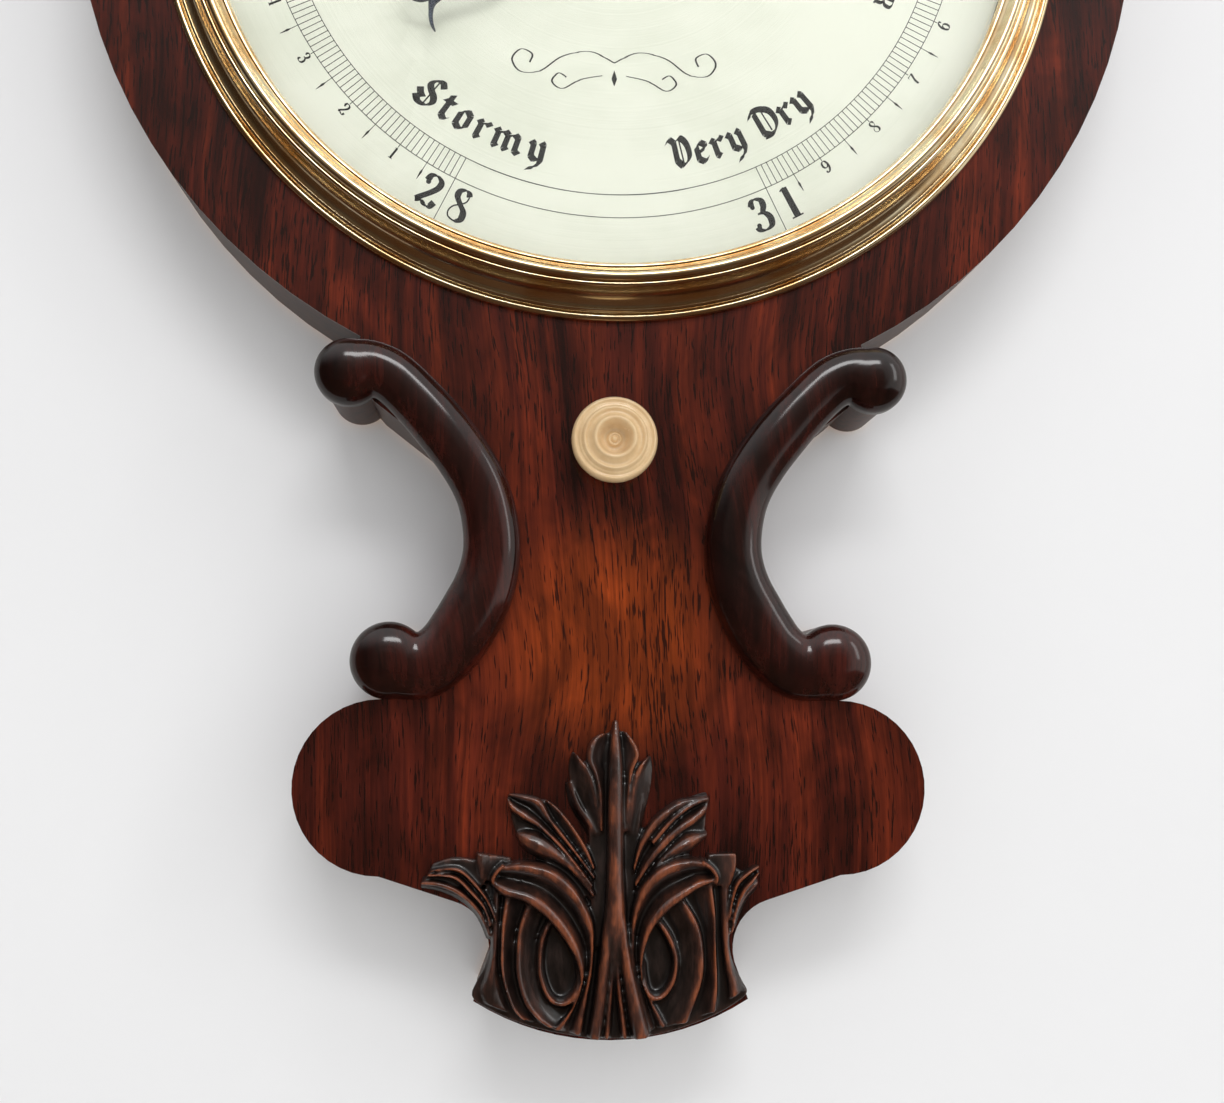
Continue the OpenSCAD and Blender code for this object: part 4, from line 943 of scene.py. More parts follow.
@dataclass
class Scroll:
    """A C-shaped moulding of half-round section that swells into a ball at each end.

    The path gives places and half widths from the upper ball to the lower one, for the lower right.
    The straight side, the fullness of the round above it and the skin's grain are in millimetres.
    """

    path: tuple[Triple, ...] = (
        (64.4, -128.9, 7.6), (59.6, -128.3, 6.9), (54.0, -130.3, 6.6), (47.5, -136.2, 6.6),
        (41.2, -143.3, 6.8), (36.3, -149.8, 6.75), (32.5, -156.3, 6.7), (30.3, -162.6, 6.75),
        (29.2, -170.1, 6.9), (29.6, -176.1, 7.1), (31.1, -181.8, 7.45), (33.4, -186.8, 7.75),
        (36.2, -191.8, 7.85), (39.6, -196.4, 7.75), (44.6, -200.3, 7.7), (49.4, -201.0, 7.4),
        (53.3, -200.2, 7.3))
    balls: tuple[Triple, ...] = ((64.3, -129.4, 8.3), (53.3, -199.1, 9.3))
    side: float = 1.9
    fullness: float = 13.5
    grain: float = 0.45
    eased: int = 4
    flowing: int = 60

    def build(self) -> None:
        """Shapes one scroll and puts it on the case with its three mirror images."""
        bm = self.shape()
        for row, up in (("lower", 1.0), ("upper", -1.0)):
            for side, across in (("right", 1.0), ("left", -1.0)):
                name = f"{row}_scroll_{side}"
                one = bm.copy()
                bmesh.ops.scale(one, vec=(across, up, 1), verts=one.verts)
                face_out(one)
                make_piece(name + "_moulding", one, MOULDING, "case", "moulding", (name,), crease=50.0)
        bm.free()

    def shape(self) -> Solid:
        """Shapes the lower right scroll.

        Returns:
            Its mesh on the bench.
        """
        bm = bmesh.new()
        tube(bm, [(x, y, 0, r) for x, y, r in smooth_line(self.path, steps=8)], sides=40)
        for x, y, r in self.balls:
            bmesh.ops.create_uvsphere(bm, u_segments=48, v_segments=32, radius=r,
                                      matrix=Matrix.Translation((x, y, 0)))
        bm = fuse(bm, self.grain, self.eased)
        cut_below(bm, 0.0)
        for vert in bm.verts:
            vert.co.z = self.side + self.fullness * (1 - math.exp(-max(vert.co.z, 0) / self.fullness))
        rim = [e for e in bm.edges if e.is_boundary]
        inner = [v for v in bm.verts if not v.is_boundary]
        for _ in range(self.flowing):
            bmesh.ops.smooth_vert(bm, verts=inner, factor=0.5, use_axis_z=True)
        foot = bmesh.ops.extrude_edge_only(bm, edges=rim)["geom"]
        for vert in (g for g in foot if isinstance(g, bmesh.types.BMVert)):
            vert.co.z = 0
        close_holes(bm)
        bmesh.ops.translate(bm, vec=(0, 0, FRONT), verts=bm.verts)
        tidy(bm)
        return bm


class Section(Enum):
    """Shapes across a carved blade, as places from its left edge to its right and heights there."""

    RIDGE = ((0.0, 0.30), (0.1, 0.55), (0.26, 0.86), (0.5, 1.0), (0.74, 0.86), (0.9, 0.55), (1.0, 0.30))
    BEAD = ((0.0, 0.35), (0.04, 0.62), (0.12, 0.82), (0.26, 0.95), (0.5, 1.0), (0.74, 0.95), (0.88, 0.82),
            (0.96, 0.62), (1.0, 0.35))
    CREST = ((0.0, 0.2), (0.1, 0.24), (0.2, 0.36), (0.3, 0.64), (0.38, 0.9), (0.45, 0.99), (0.55, 0.99),
             (0.62, 0.9), (0.7, 0.64), (0.8, 0.36), (0.9, 0.24), (1.0, 0.2))
    SCOOP = ((0.0, 0.45), (0.04, 0.82), (0.1, 0.98), (0.17, 1.0), (0.25, 0.94), (0.34, 0.72), (0.42, 0.52),
             (0.5, 0.45), (0.58, 0.52), (0.66, 0.72), (0.75, 0.94), (0.83, 1.0), (0.9, 0.98), (0.96, 0.82),
             (1.0, 0.45))
    LEFT_RIM = ((0.0, 0.5), (0.06, 0.9), (0.14, 1.0), (0.24, 0.94), (0.45, 0.7), (0.7, 0.52), (1.0, 0.4))
    RIGHT_RIM = ((0.0, 0.4), (0.3, 0.52), (0.55, 0.7), (0.76, 0.94), (0.86, 1.0), (0.94, 0.9), (1.0, 0.5))
    SLAB = ((0.0, 0.82), (0.02, 1.0), (0.25, 1.0), (0.5, 1.0), (0.75, 1.0), (0.98, 1.0), (1.0, 0.82))


RIDGE, BEAD, CREST, SCOOP, LEFT_RIM, RIGHT_RIM, SLAB = Section


@dataclass(frozen=True)
class Blade:
    """One cut of a carved leaf: left edge, right edge and height above the veneer, along its length.

    The skirt is how far the hollow gouged beside it reaches past its edges.
    """

    name: str
    section: Section
    rows: tuple[tuple[float, float, float, float, float], ...]
    skirt: float = 0.0

    def loft(self, bm: Solid, root: float) -> None:
        """Adds the blade as a closed solid.

        Args:
            bm: The mesh that it joins.
            root: Height of its underside.
        """
        rings = []
        for left, low, right, high, lift in smooth_line(self.rows, steps=5):
            one, two = Vector((left, low, 0)), Vector((right, high, 0))
            reach = (two - one).normalized() * self.skirt
            one, two = one - reach, two + reach
            top = [one.lerp(two, t) + Vector((0, 0, h * lift)) for t, h in self.section.value]
            rings.append([one + Vector((0, 0, root)), *top, two + Vector((0, 0, root))])
        loft(bm, rings)


LEAF_BLADES = (
    Blade("ground", SLAB, ((-1.9, -235.8, 2.7, -235.8, 1.2), (-4.5, -240.3, 5.6, -240.4, 1.3),
        (-8.5, -244.9, 9.4, -244.9, 1.4), (-24.5, -247.1, 23.9, -246.1, 1.4),
        (-29.6, -251.6, 32, -249.5, 1.4), (-29.2, -256, 30.8, -255.2, 1.4),
        (-28.7, -260.5, 28.6, -259.7, 1.4), (-28.5, -265.5, 28, -265.9, 1.4),
        (-29.8, -270.5, 29, -270.4, 1.4), (-31.6, -273.8, 31, -274.3, 1.4),
        (-32.6, -277.4, 31.9, -277.2, 1.4), (-28.2, -280.5, 26.4, -281, 1.4),
        (-21.1, -283.5, 19.4, -283.9, 1.4), (-13.2, -285.6, 12.4, -285.9, 1.4),
        (-4.7, -287, 4.8, -287.1, 1.4))),
    Blade("heart", SLAB, ((-0.4, -215.5, 1.6, -215.5, 1.6), (-4, -219.7, 4.9, -219.7, 2.2),
        (-5.7, -224.4, 6.6, -224.4, 2.4), (-6.6, -231, 7.4, -231, 2.4), (-6, -236.3, 6.8, -236.3, 2.4),
        (-5.6, -240.4, 6.3, -240.5, 2.4), (-5.4, -246.3, 5.6, -246.4, 2.6),
        (-5.1, -252.2, 5.1, -252.2, 2.8), (-4.9, -259.2, 4.8, -259.3, 2.8),
        (-4.3, -266.2, 5.7, -266.2, 2.4))),
    Blade("web_left", SLAB, ((-24.4, -233.9, -24.4, -231.3, 1.6), (-22.3, -240.4, -20.1, -233.9, 2),
        (-17.6, -244.8, -14.1, -238.1, 2.4), (-11, -249.2, -8.7, -243.4, 2.6),
        (-4.7, -255.7, -4.9, -249.3, 2.6))),
    Blade("web_right", SLAB, ((22.5, -231.6, 22.5, -235.2, 1.6), (17.8, -233.7, 21.1, -241.7, 2),
        (12.9, -236.9, 15.9, -244.9, 2.4), (8.7, -241.7, 11.1, -248.1, 2.6),
        (5.6, -248.1, 5.2, -255.7, 2.6))),
    Blade("spine", BEAD, ((0.1, -213, 1.3, -213, 3.4), (-0.6, -217.5, 1.9, -217.5, 4.8),
        (-1.1, -224.4, 2.5, -224.4, 5.8), (-1.3, -234.7, 2.6, -234.7, 6.6), (-1.4, -246, 2.7, -246, 7.2),
        (-1.7, -254.5, 3.1, -254.5, 7.6), (-2.3, -260.7, 3.4, -260.7, 7.4), (-2.6, -266.3, 3.8, -266.3, 6),
        (-2.3, -272.9, 3.1, -273, 3.6))),
    Blade("left_leg", BEAD, ((-1.1, -250.5, 0.3, -250.5, 5.6), (-2, -258.4, 0.2, -258.4, 6.8),
        (-3.2, -267.9, -0.2, -267.9, 6.8), (-4.2, -276.8, -1.2, -276.8, 6.2),
        (-5.7, -286.4, -2.6, -286.7, 5.4))),
    Blade("right_leg", BEAD, ((0.6, -250.5, 2.1, -250.6, 5.6), (0.8, -258.4, 3.2, -258.4, 6.8),
        (1.6, -268, 4.6, -268, 6.8), (2.9, -276.9, 6.7, -276.9, 6.2), (4.7, -286.8, 9.2, -286.1, 5.4))),
    Blade("flute_left", CREST, ((-0, -266.3, 0.6, -266.3, 5.4), (-0.6, -273, 0.2, -273, 4.8),
        (-1.3, -279.6, -0.2, -279.6, 4.2), (-2.1, -286.8, -0.5, -286.9, 3.6)), 1),
    Blade("flute_right", CREST, ((0.6, -266.3, 1.1, -266.3, 5.4), (0.9, -273, 1.8, -273, 4.8),
        (1.5, -279.6, 2.8, -279.7, 4.2), (2.3, -286.8, 3.9, -286.9, 3.6)), 1),
    Blade("top_left_inner", LEFT_RIM, ((-3, -239.2, -1, -239.2, 3.6), (-3.3, -231.2, -0.9, -231.2, 4.6),
        (-4.5, -226.1, -0.8, -226.1, 5), (-6.3, -222.4, -0.7, -223.2, 5), (-5.9, -219.2, -0.6, -220.4, 4.8),
        (-4.4, -217, -0.5, -218.1, 4.2), (-2.4, -216.2, -0.5, -216.2, 3.6))),
    Blade("top_left_outer", RIGHT_RIM, ((-4.1, -239.8, -2.4, -239.2, 3), (-7.3, -233.5, -3.2, -232.4, 4),
        (-9.5, -229, -4.2, -227.2, 4.6), (-10.4, -225.5, -5.8, -223.9, 4.6),
        (-10.3, -222.7, -7.3, -222.4, 4.2), (-9.6, -220.5, -8.9, -220.8, 3.4))),
    Blade("top_left_fold", CREST, ((-10.4, -227.7, -9.7, -227.4, 2.4), (-9.2, -232.9, -7.6, -232.2, 3),
        (-6.8, -236.9, -5.2, -235.8, 3), (-4.6, -240.3, -3, -239.2, 2.8)), 1),
    Blade("top_right_inner", RIGHT_RIM, ((2.1, -239.2, 3.5, -239.2, 3.6), (1.9, -231.2, 4, -230.1, 4.6),
        (1.7, -226.1, 4.9, -224.9, 5), (1.6, -222.7, 6.4, -221.3, 5), (1.6, -219.2, 5.3, -218.2, 4.6),
        (1.7, -215.7, 3, -215.6, 3.6))),
    Blade("top_right_outer", LEFT_RIM, ((3.4, -239.2, 6.5, -240.1, 3), (3.8, -231.8, 8, -234.1, 4),
        (4.5, -227.2, 9.1, -229, 4.4), (5.7, -224.3, 9.5, -225.7, 4.4), (7.3, -222.5, 9.5, -223.2, 4),
        (8.8, -221.4, 9.3, -221.4, 3.2))),
    Blade("mid_left_inner", RIGHT_RIM, ((-16.6, -231.9, -15.9, -231.6, 3.6),
        (-15.4, -234.6, -12.7, -233.7, 4.6), (-12.6, -238.6, -8.9, -238.2, 5.4),
        (-9.1, -243.7, -5.9, -243.1, 5.8), (-5.7, -248.8, -4.2, -247.4, 5.4))),
    Blade("mid_left_outer", SCOOP, ((-24.9, -231.6, -24.7, -230.3, 3), (-24.4, -233.8, -21, -230.5, 3.8),
        (-21.7, -236.1, -16.8, -231.7, 4.4), (-17.4, -238.4, -14.5, -235.8, 4.8),
        (-12.8, -242.6, -10.6, -240.9, 5), (-8.5, -247.6, -7.1, -245.4, 5.2),
        (-4.9, -252.3, -4.1, -249.4, 5))),
    Blade("mid_left_low", RIDGE, ((-22.9, -239.7, -22.5, -239.1, 2.6), (-21.7, -242.6, -20.1, -238.4, 4.4),
        (-18.6, -245, -15.9, -239.5, 5.2), (-14.1, -246.4, -11.5, -243.2, 5.2),
        (-9.4, -249.4, -7.3, -248.1, 5), (-4.7, -255.1, -4.1, -252.8, 4.6))),
    Blade("mid_right_outer", SCOOP, ((22.9, -230.8, 22.8, -232.5, 3.2), (18, -231.3, 22.3, -234.7, 4.2),
        (15.3, -231.9, 19.9, -237.2, 4.8), (11.8, -234.1, 16.4, -239.5, 5.2),
        (8.8, -237, 12.3, -243.3, 5.4), (6.1, -241.5, 8.8, -247.3, 5.4), (4.8, -247.2, 5.3, -252.4, 5))),
    Blade("mid_right_rib", CREST, ((22.8, -231, 22.9, -231.9, 3.6), (18.1, -232.5, 18.6, -233.8, 4.8),
        (13.5, -235.8, 14.3, -237.3, 5.4), (8.8, -240.9, 9.8, -242.6, 5.4)), 1),
    Blade("mid_right_low", RIDGE, ((22.7, -239.1, 22.6, -240.6, 2.6), (17.7, -239.1, 18.3, -244.3, 5),
        (13.5, -242, 13.9, -246.1, 5.2), (9.3, -246.5, 9.6, -249.7, 5), (5.3, -252.8, 5.5, -255.8, 4.6))),
    Blade("curl_left", SCOOP, ((-28.5, -251.3, -26.6, -247.1, 5), (-25.7, -253.9, -21.1, -245.8, 6.4),
        (-21.1, -255.3, -15.2, -246.8, 7), (-16.5, -258.3, -11.2, -249, 7.2),
        (-11.8, -263.5, -7.7, -252.8, 7), (-8.7, -269, -5.5, -256.9, 6.6), (-7.6, -273.5, -4.3, -261.3, 6),
        (-8.5, -277.7, -4.5, -269.7, 5.2), (-10.7, -281.5, -5.5, -276.6, 4.4),
        (-13.9, -284.4, -7, -286, 3.8))),
    Blade("curl_left_tip", RIDGE, ((-28.3, -251.9, -26.9, -251.3, 5.2), (-28.9, -250.2, -27.2, -250, 6.2),
        (-27.8, -247.9, -26.3, -248.5, 6.6), (-25.9, -246.1, -25.1, -247.3, 6.6))),
    Blade("curl_right", SCOOP, ((23.7, -247.3, 24.8, -250.8, 5), (19.8, -245.2, 20.4, -252.3, 6.4),
        (15.2, -245.2, 15.9, -255.4, 7), (11.1, -246.6, 12.1, -258.5, 7.2), (7.9, -249.6, 9.2, -262.2, 7),
        (5.8, -252.9, 7.8, -265.8, 6.8), (4.6, -256.8, 7, -270.2, 6.4), (4.1, -261.3, 7.2, -274.1, 5.6),
        (4.2, -266.3, 7.9, -276.6, 4.9), (6, -276.1, 9.6, -278.7, 4.2), (8, -285.2, 12.9, -284, 3.6))),
    Blade("curl_right_tip", RIDGE, ((23.6, -251.5, 25, -251.5, 5.2), (23.8, -250.1, 25.3, -249.6, 6.2),
        (22.7, -248.5, 24, -247, 6.6), (20.8, -247, 21.2, -245.1, 6.6))),
    Blade("eye_left", CREST, ((-9.4, -268.5, -8.7, -268.8, 1.3), (-8.3, -272.2, -7.4, -272.6, 3.8),
        (-9.4, -275.4, -7.6, -277.1, 5.2), (-11.2, -277.4, -10.8, -279.5, 4.8),
        (-13.4, -277, -14.4, -278.8, 4.6), (-15.1, -274.2, -16.8, -275.1, 4.6),
        (-16.1, -269.8, -17.8, -270.1, 4.6), (-15.6, -264.5, -17.2, -263.9, 4.6),
        (-14.1, -260.6, -15.5, -260, 4.4), (-12.5, -258.9, -13.9, -257.8, 4.2)), 0.9),
    Blade("eye_right", CREST, ((8, -268, 7.3, -268, 1.3), (7.9, -272.1, 7, -272.4, 3.8),
        (9.1, -275.9, 8.1, -277.6, 5), (11.2, -276.2, 11.8, -278.1, 4.8), (13.3, -273.3, 14.9, -274.4, 4.6),
        (14.1, -269.2, 15.8, -269.2, 4.6), (13.2, -265.5, 14.8, -264.7, 4.6),
        (11.6, -262.4, 12.9, -261.4, 4.4), (9.8, -260.2, 10.9, -258.8, 4.2)), 0.9),
    Blade("rib_left_inner", LEFT_RIM, ((-19.9, -254.8, -15.6, -257.1, 4.4),
        (-22, -260.9, -17.7, -262.9, 4.6), (-22.6, -266.1, -18, -267.3, 4.6),
        (-22.6, -270.7, -17.7, -271.9, 4.6), (-21.9, -274.7, -16.7, -275.9, 4.6),
        (-20.4, -278.8, -14.4, -279.7, 4.4), (-17.9, -281.9, -11.4, -282.5, 4.2),
        (-15.3, -283.9, -8.1, -284.7, 4))),
    Blade("rib_left_middle", LEFT_RIM, ((-25, -251.8, -20, -254.5, 4.6), (-25.9, -259.7, -22.7, -261.1, 5),
        (-26.1, -264.9, -23.2, -266.1, 5), (-26.1, -269.5, -23.2, -270.7, 4.8),
        (-25.5, -273.5, -22.4, -274.7, 4.6), (-24.3, -277.3, -21, -278.5, 4.4),
        (-22.9, -280.2, -19, -281.5, 4.2), (-21.2, -282, -16.6, -283.6, 4))),
    Blade("rib_left_outer", RIDGE, ((-28.3, -252.4, -25.9, -252.4, 3.4),
        (-28.4, -263.1, -26.3, -263.1, 3.8), (-28.6, -267.8, -26.5, -267.8, 3.8),
        (-29.9, -272.4, -26.1, -272.4, 3.6), (-31.5, -275.8, -24.9, -276.4, 3.2),
        (-30.8, -278.1, -22.8, -281.3, 3))),
    Blade("rib_right_inner", RIGHT_RIM, ((11.7, -255.5, 15.4, -252.6, 4.4),
        (15.2, -261.9, 19.7, -259.2, 4.8), (15.9, -266.3, 21.3, -264, 4.8), (15.9, -271, 21.7, -269.3, 4.8),
        (15, -275.6, 21.2, -273.9, 4.6), (12.9, -279.6, 19.7, -278.5, 4.2),
        (10.4, -284.6, 17.9, -283.2, 3.8))),
    Blade("rib_right_middle", RIGHT_RIM, ((18.8, -252, 23.5, -250, 4.6), (21.8, -260.5, 24.3, -258.2, 4.8),
        (22.4, -266.4, 24.3, -264, 4.8), (22.3, -272.2, 24.6, -269.9, 4.6),
        (21.4, -276.8, 24.8, -275.1, 4.2), (19.2, -282.6, 24.6, -280.6, 3.8))),
    Blade("rib_right_outer", RIDGE, ((25.2, -250, 28.3, -252.6, 3.4), (25.4, -259.4, 28.1, -260.5, 3.8),
        (25.7, -265.2, 27.9, -265.2, 3.8), (26.3, -270.5, 28.6, -269.9, 3.6),
        (26.9, -274.5, 29.9, -273.4, 3.2), (27.2, -278.6, 30.8, -276.3, 3))),
    Blade("flare_left_upper", SCOOP, ((-43.6, -249.5, -42.5, -247.9, 4.2),
        (-40.1, -249.4, -39, -247.3, 5.2), (-36.5, -250.3, -35.9, -247.4, 5.4),
        (-33.1, -253.6, -33, -249.6, 5.2), (-30.2, -256.9, -29.2, -254.4, 4.8),
        (-28.7, -261, -26.9, -259.4, 4.4))),
    Blade("flare_left_lower", CREST, ((-45, -251.6, -44.8, -250.5, 3.2),
        (-41.2, -252.2, -40.9, -250.1, 3.8), (-37.2, -253.7, -36.6, -251.5, 4),
        (-33.7, -256.1, -33.4, -253.9, 4), (-31, -259.4, -30.3, -257.5, 3.8),
        (-29, -263.9, -28.2, -262.2, 3.4)), 0.8),
    Blade("flare_left_back", SLAB, ((-43.8, -249.8, -42.2, -246.6, 2.2), (-39.8, -251, -37.6, -245.2, 2.6),
        (-35.3, -251.5, -33.1, -245.6, 2.8), (-30.2, -251.6, -29.1, -247.1, 2.8))),
    Blade("tab_left", LEFT_RIM, ((-31.3, -249.9, -26.4, -251.6, 3.4), (-32, -246.8, -25, -247.1, 4.2),
        (-32.3, -243.9, -23.5, -245.4, 4.2))),
    Blade("tab_right", SLAB, ((22.8, -251.8, 27.9, -251.8, 3.4), (23.1, -247.8, 29.2, -247.8, 3.8),
        (22.3, -244.5, 29.3, -244.3, 3.8))),
    Blade("flare_right_upper", SCOOP, ((34.8, -247, 34.7, -249.1, 4.2), (32, -248.3, 33.2, -251.2, 5),
        (29.2, -250.8, 31.5, -253.3, 5), (28, -254.6, 29.8, -256.7, 4.6),
        (27.4, -259.1, 28.7, -260.8, 4.2))),
    Blade("flare_right_lower", CREST, ((34.6, -250.1, 34.7, -251.8, 3.2), (32.2, -251.8, 33.4, -253.1, 3.8),
        (30.2, -254.6, 31.6, -255.1, 3.8), (28.7, -258.6, 29.8, -258.6, 3.6),
        (27.9, -263.1, 28.7, -262.5, 3.2)), 0.8),
)


@dataclass
class Leaf:
    """A carved acanthus leaf, built up from its blades and grown into one piece of wood.

    The crest's leaf mirrors the lower one about a line across the case. The relief mark at a corner, worn red
    high up and painted dark as shade low down, is a base, a gain for each millimetre that it stands above the
    wood round it and a little for its own height.
    """

    blades: tuple[Blade, ...] = LEAF_BLADES
    grain: float = 0.34
    eased: int = 3
    root: float = -0.6
    mirror_at: float = 183.64
    # The relief mark: worn ridges, and painted shade in the hollows.
    wear: str = "wear"
    wear_base: float = 0.27
    wear_gain: float = 0.76
    wear_height: float = 0.04
    wear_reach: int = 26

    def build(self) -> None:
        """Carves the leaf at the foot of the case and mirrors it for the crest."""
        bm = self.carve()
        crest = bm.copy()
        bmesh.ops.scale(crest, vec=(1, -1, 1), verts=crest.verts)
        bmesh.ops.translate(crest, vec=(0, 2 * self.mirror_at, 0), verts=crest.verts)
        face_out(crest)
        for name, leaf in (("base_leaf", bm), ("crest_leaf", crest)):
            make_piece(name + "_carving", leaf, CARVING, "case", "moulding", (name,), crease=60.0)

    def carve(self) -> Solid:
        """Carves the lower leaf.

        Returns:
            Its mesh on the bench.
        """
        bm = bmesh.new()
        for blade in self.blades:
            blade.loft(bm, self.root)
        tidy(bm)
        bm = fuse(bm, self.grain, self.eased)
        cut_below(bm, 0.0)
        close_holes(bm)
        self.mark_wear(bm)
        bmesh.ops.translate(bm, vec=(0, 0, FRONT), verts=bm.verts)
        face_out(bm)
        return bm

    def mark_wear(self, bm: Solid) -> None:
        """Notes at each corner how far it stands out from the wood round it, where hands rub it.

        High corners are worn red; low ones are painted dark as shade.

        Args:
            bm: The carved skin.
        """
        layer = bm.verts.layers.float.new(self.wear)
        bm.verts.index_update()
        near = [[e.other_vert(v).index for e in v.link_edges] for v in bm.verts]
        heights = [v.co.z for v in bm.verts]
        level = heights
        for _ in range(self.wear_reach):
            level = [(level[i] + sum(level[k] for k in row)) / (1 + len(row)) for i, row in enumerate(near)]
        for vert, height, mean in zip(bm.verts, heights, level):
            # A corner below the wood round it gets a low value, which the finish paints dark as shade.
            rubbed = self.wear_base + self.wear_gain * (height - mean) + self.wear_height * height
            vert[layer] = min(max(rubbed, 0.0), 1.0)


@dataclass
class Knob:
    """The turned bone knob under the dial, as radius and height above its seat, from the dish outwards."""

    section: tuple[Place, ...] = (
        (0.0, 7.75), (0.45, 7.7), (0.8, 7.3), (1.05, 7.1), (1.3, 7.35), (1.6, 7.2), (2.0, 6.75), (2.6, 6.8),
        (3.3, 7.9), (3.9, 9.45), (4.35, 10.4), (4.75, 10.65), (5.15, 10.45), (5.6, 9.7), (6.1, 9.1),
        (6.6, 9.0), (7.05, 9.35), (7.4, 9.45), (7.75, 9.1), (8.05, 8.55), (8.45, 8.4), (8.8, 8.1),
        (9.15, 8.15), (9.55, 8.35), (9.95, 8.05), (10.28, 7.35), (10.4, 6.4), (10.3, 5.0), (9.6, 3.6),
        (8.4, 2.6), (7.4, 2.0), (7.0, 1.2), (7.2, 0.0))
    sides: int = 96

    def build(self) -> None:
        """Turns the knob and puts it on its spindle."""
        low, high = bench_box("setting_knob")
        outline = smooth_line(self.section, steps=4)
        bm = bmesh.new()
        lathe(bm, [(max(r, 0.0), low.z + h) for r, h in outline] + [(0.0, low.z)],
              ((low.x + high.x) / 2, (low.y + high.y) / 2), self.sides)
        make_piece("setting_knob_turned", bm, BONE, "knob", "bone", ("setting_knob",), crease=55.0)


@dataclass
class Bezel:
    """The hinged brass ring, as runs of radius and height above the veneer between its sharp quirks."""

    runs: tuple[tuple[Place, ...], ...] = (
        ((107.0, 0.0), (115.5, 0.0)),
        ((115.5, 0.0), (115.5, 0.9), (115.32, 1.42), (114.9, 1.76), (114.4, 1.84), (113.95, 1.68),
         (113.62, 1.25)),
        ((113.62, 1.25), (113.45, 1.8), (113.08, 2.28), (112.7, 2.42), (112.35, 2.12)),
        ((112.35, 2.12), (111.6, 2.3), (110.7, 2.85), (109.85, 3.85), (109.25, 5.2), (108.92, 6.5),
         (108.72, 7.65)),
        ((108.72, 7.65), (108.8, 8.1), (108.62, 8.55), (108.22, 8.82), (107.82, 8.76), (107.5, 8.5)),
        ((107.5, 8.5), (107.48, 9.0), (107.25, 9.5), (106.8, 9.8), (106.2, 9.84), (105.7, 9.72),
         (105.35, 9.4)),
        ((105.35, 9.4), (104.9, 8.55), (104.35, 7.75), (103.72, 7.2)),
        ((103.72, 7.2), (103.45, 7.32), (103.1, 7.3), (102.65, 7.1), (102.32, 6.72), (102.2, 6.3),
         (102.2, 6.0)),
        ((102.2, 6.0), (105.2, 6.0)),
        ((105.2, 6.0), (105.2, 1.6)),
        ((105.2, 1.6), (107.0, 1.6)),
        ((107.0, 1.6), (107.0, 0.0)))
    sides: int = 288

    def build(self) -> None:
        """Turns the ring and hangs it on its hinge."""
        section: list[Place] = []
        for run in self.runs:
            section += smooth_line(run, steps=3 if len(run) > 2 else 1)[:-1]
        bm = bmesh.new()
        lathe(bm, [(r, FRONT + h) for r, h in section], steps=self.sides, ring=True)
        make_piece("bezel_ring_turned", bm, BEZEL_BRASS, "bezel", "brass", ("bezel_ring",), crease=42.0)


@dataclass
class Cordage:
    """The silk lines of the movement: two plies laid round each other."""

    pitch: float = 2.4
    pitch_steps: int = 6
    plies: int = 2
    ply_out: float = 0.48
    ply_half: float = 0.52
    ply_sides: int = 6
    arc_steps: int = 60
    run_steps: int = 280

    def lay(self, bm: Solid, path: Sequence[Sequence[float]], radius: float, closed: bool) -> None:
        """Lays the plies along a path.

        Args:
            bm: The mesh that they join.
            path: Evenly spaced places along the line.
            radius: The line's outer radius.
            closed: True where the path comes back to its start.
        """
        places = [Vector(p) for p in path]
        ways = headings(places, closed)
        length = sum((b - a).length for a, b in zip(places, places[1:]))
        turns = max(1, round(length / self.pitch))
        gaps = len(places) if closed else len(places) - 1
        out = Vector((0, 0, 1))
        for ply in range(self.plies):
            strand = []
            for i, (place, along) in enumerate(zip(places, ways)):
                across = along.cross(out).normalized()
                angle = math.tau * (turns * i / gaps + ply / self.plies)
                spread = self.ply_out * radius * (math.cos(angle) * across + math.sin(angle) * out)
                strand.append((*(place + spread), self.ply_half * radius))
            tube(bm, strand, self.ply_sides, closed)
        face_out(bm)

    def build(self) -> None:
        """Lays the endless cord of the set hand and the two threads of the weights."""
        low, high = bench_box("set_hand_cord")
        thick = (high.z - low.z) / 2
        wide = (high.x - low.x) / 2 - thick
        top, bottom, deep = high.y - thick - wide, low.y + thick + wide, (low.z + high.z) / 2
        turns = [math.pi * k / self.arc_steps for k in range(self.arc_steps)]
        arc = [(wide * math.cos(t), wide * math.sin(t)) for t in turns]
        run = [top - (top - bottom) * k / self.run_steps for k in range(self.run_steps)]
        path = [(x, top + y, deep) for x, y in arc] + [(-wide, y, deep) for y in run]
        path += [(-x, bottom - y, deep) for x, y in arc] + [(wide, top + bottom - y, deep) for y in run]
        bm = bmesh.new()
        self.lay(bm, path, thick, True)
        make_piece("set_hand_cord_laid", bm, SILK, "case", "silk", ("set_hand_cord",), crease=60.0)
        for node, body in (("float_thread", "float"), ("counter_thread", "counterweight")):
            self.hang(node, body)

    def hang(self, node: str, body: str) -> None:
        """Lays one thread that pays out from its pulley as its weight sinks.

        Args:
            node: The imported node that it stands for.
            body: The weight's body.
        """
        low, high = bench_box(node)
        centre, radius = (low + high) / 2, (high.x - low.x) / 2
        steps = self.pitch_steps * round((high.y - low.y) / self.pitch)
        path = [(centre.x, high.y + (low.y - high.y) * k / steps, centre.z) for k in range(steps + 1)]
        bm = bmesh.new()
        self.lay(bm, path, radius, False)
        start, end = BENCH @ Vector(path[0]), BENCH @ Vector(path[-1])
        stretch_piece(node + "_laid", bm, SILK, body, "silk", node, (start, end))


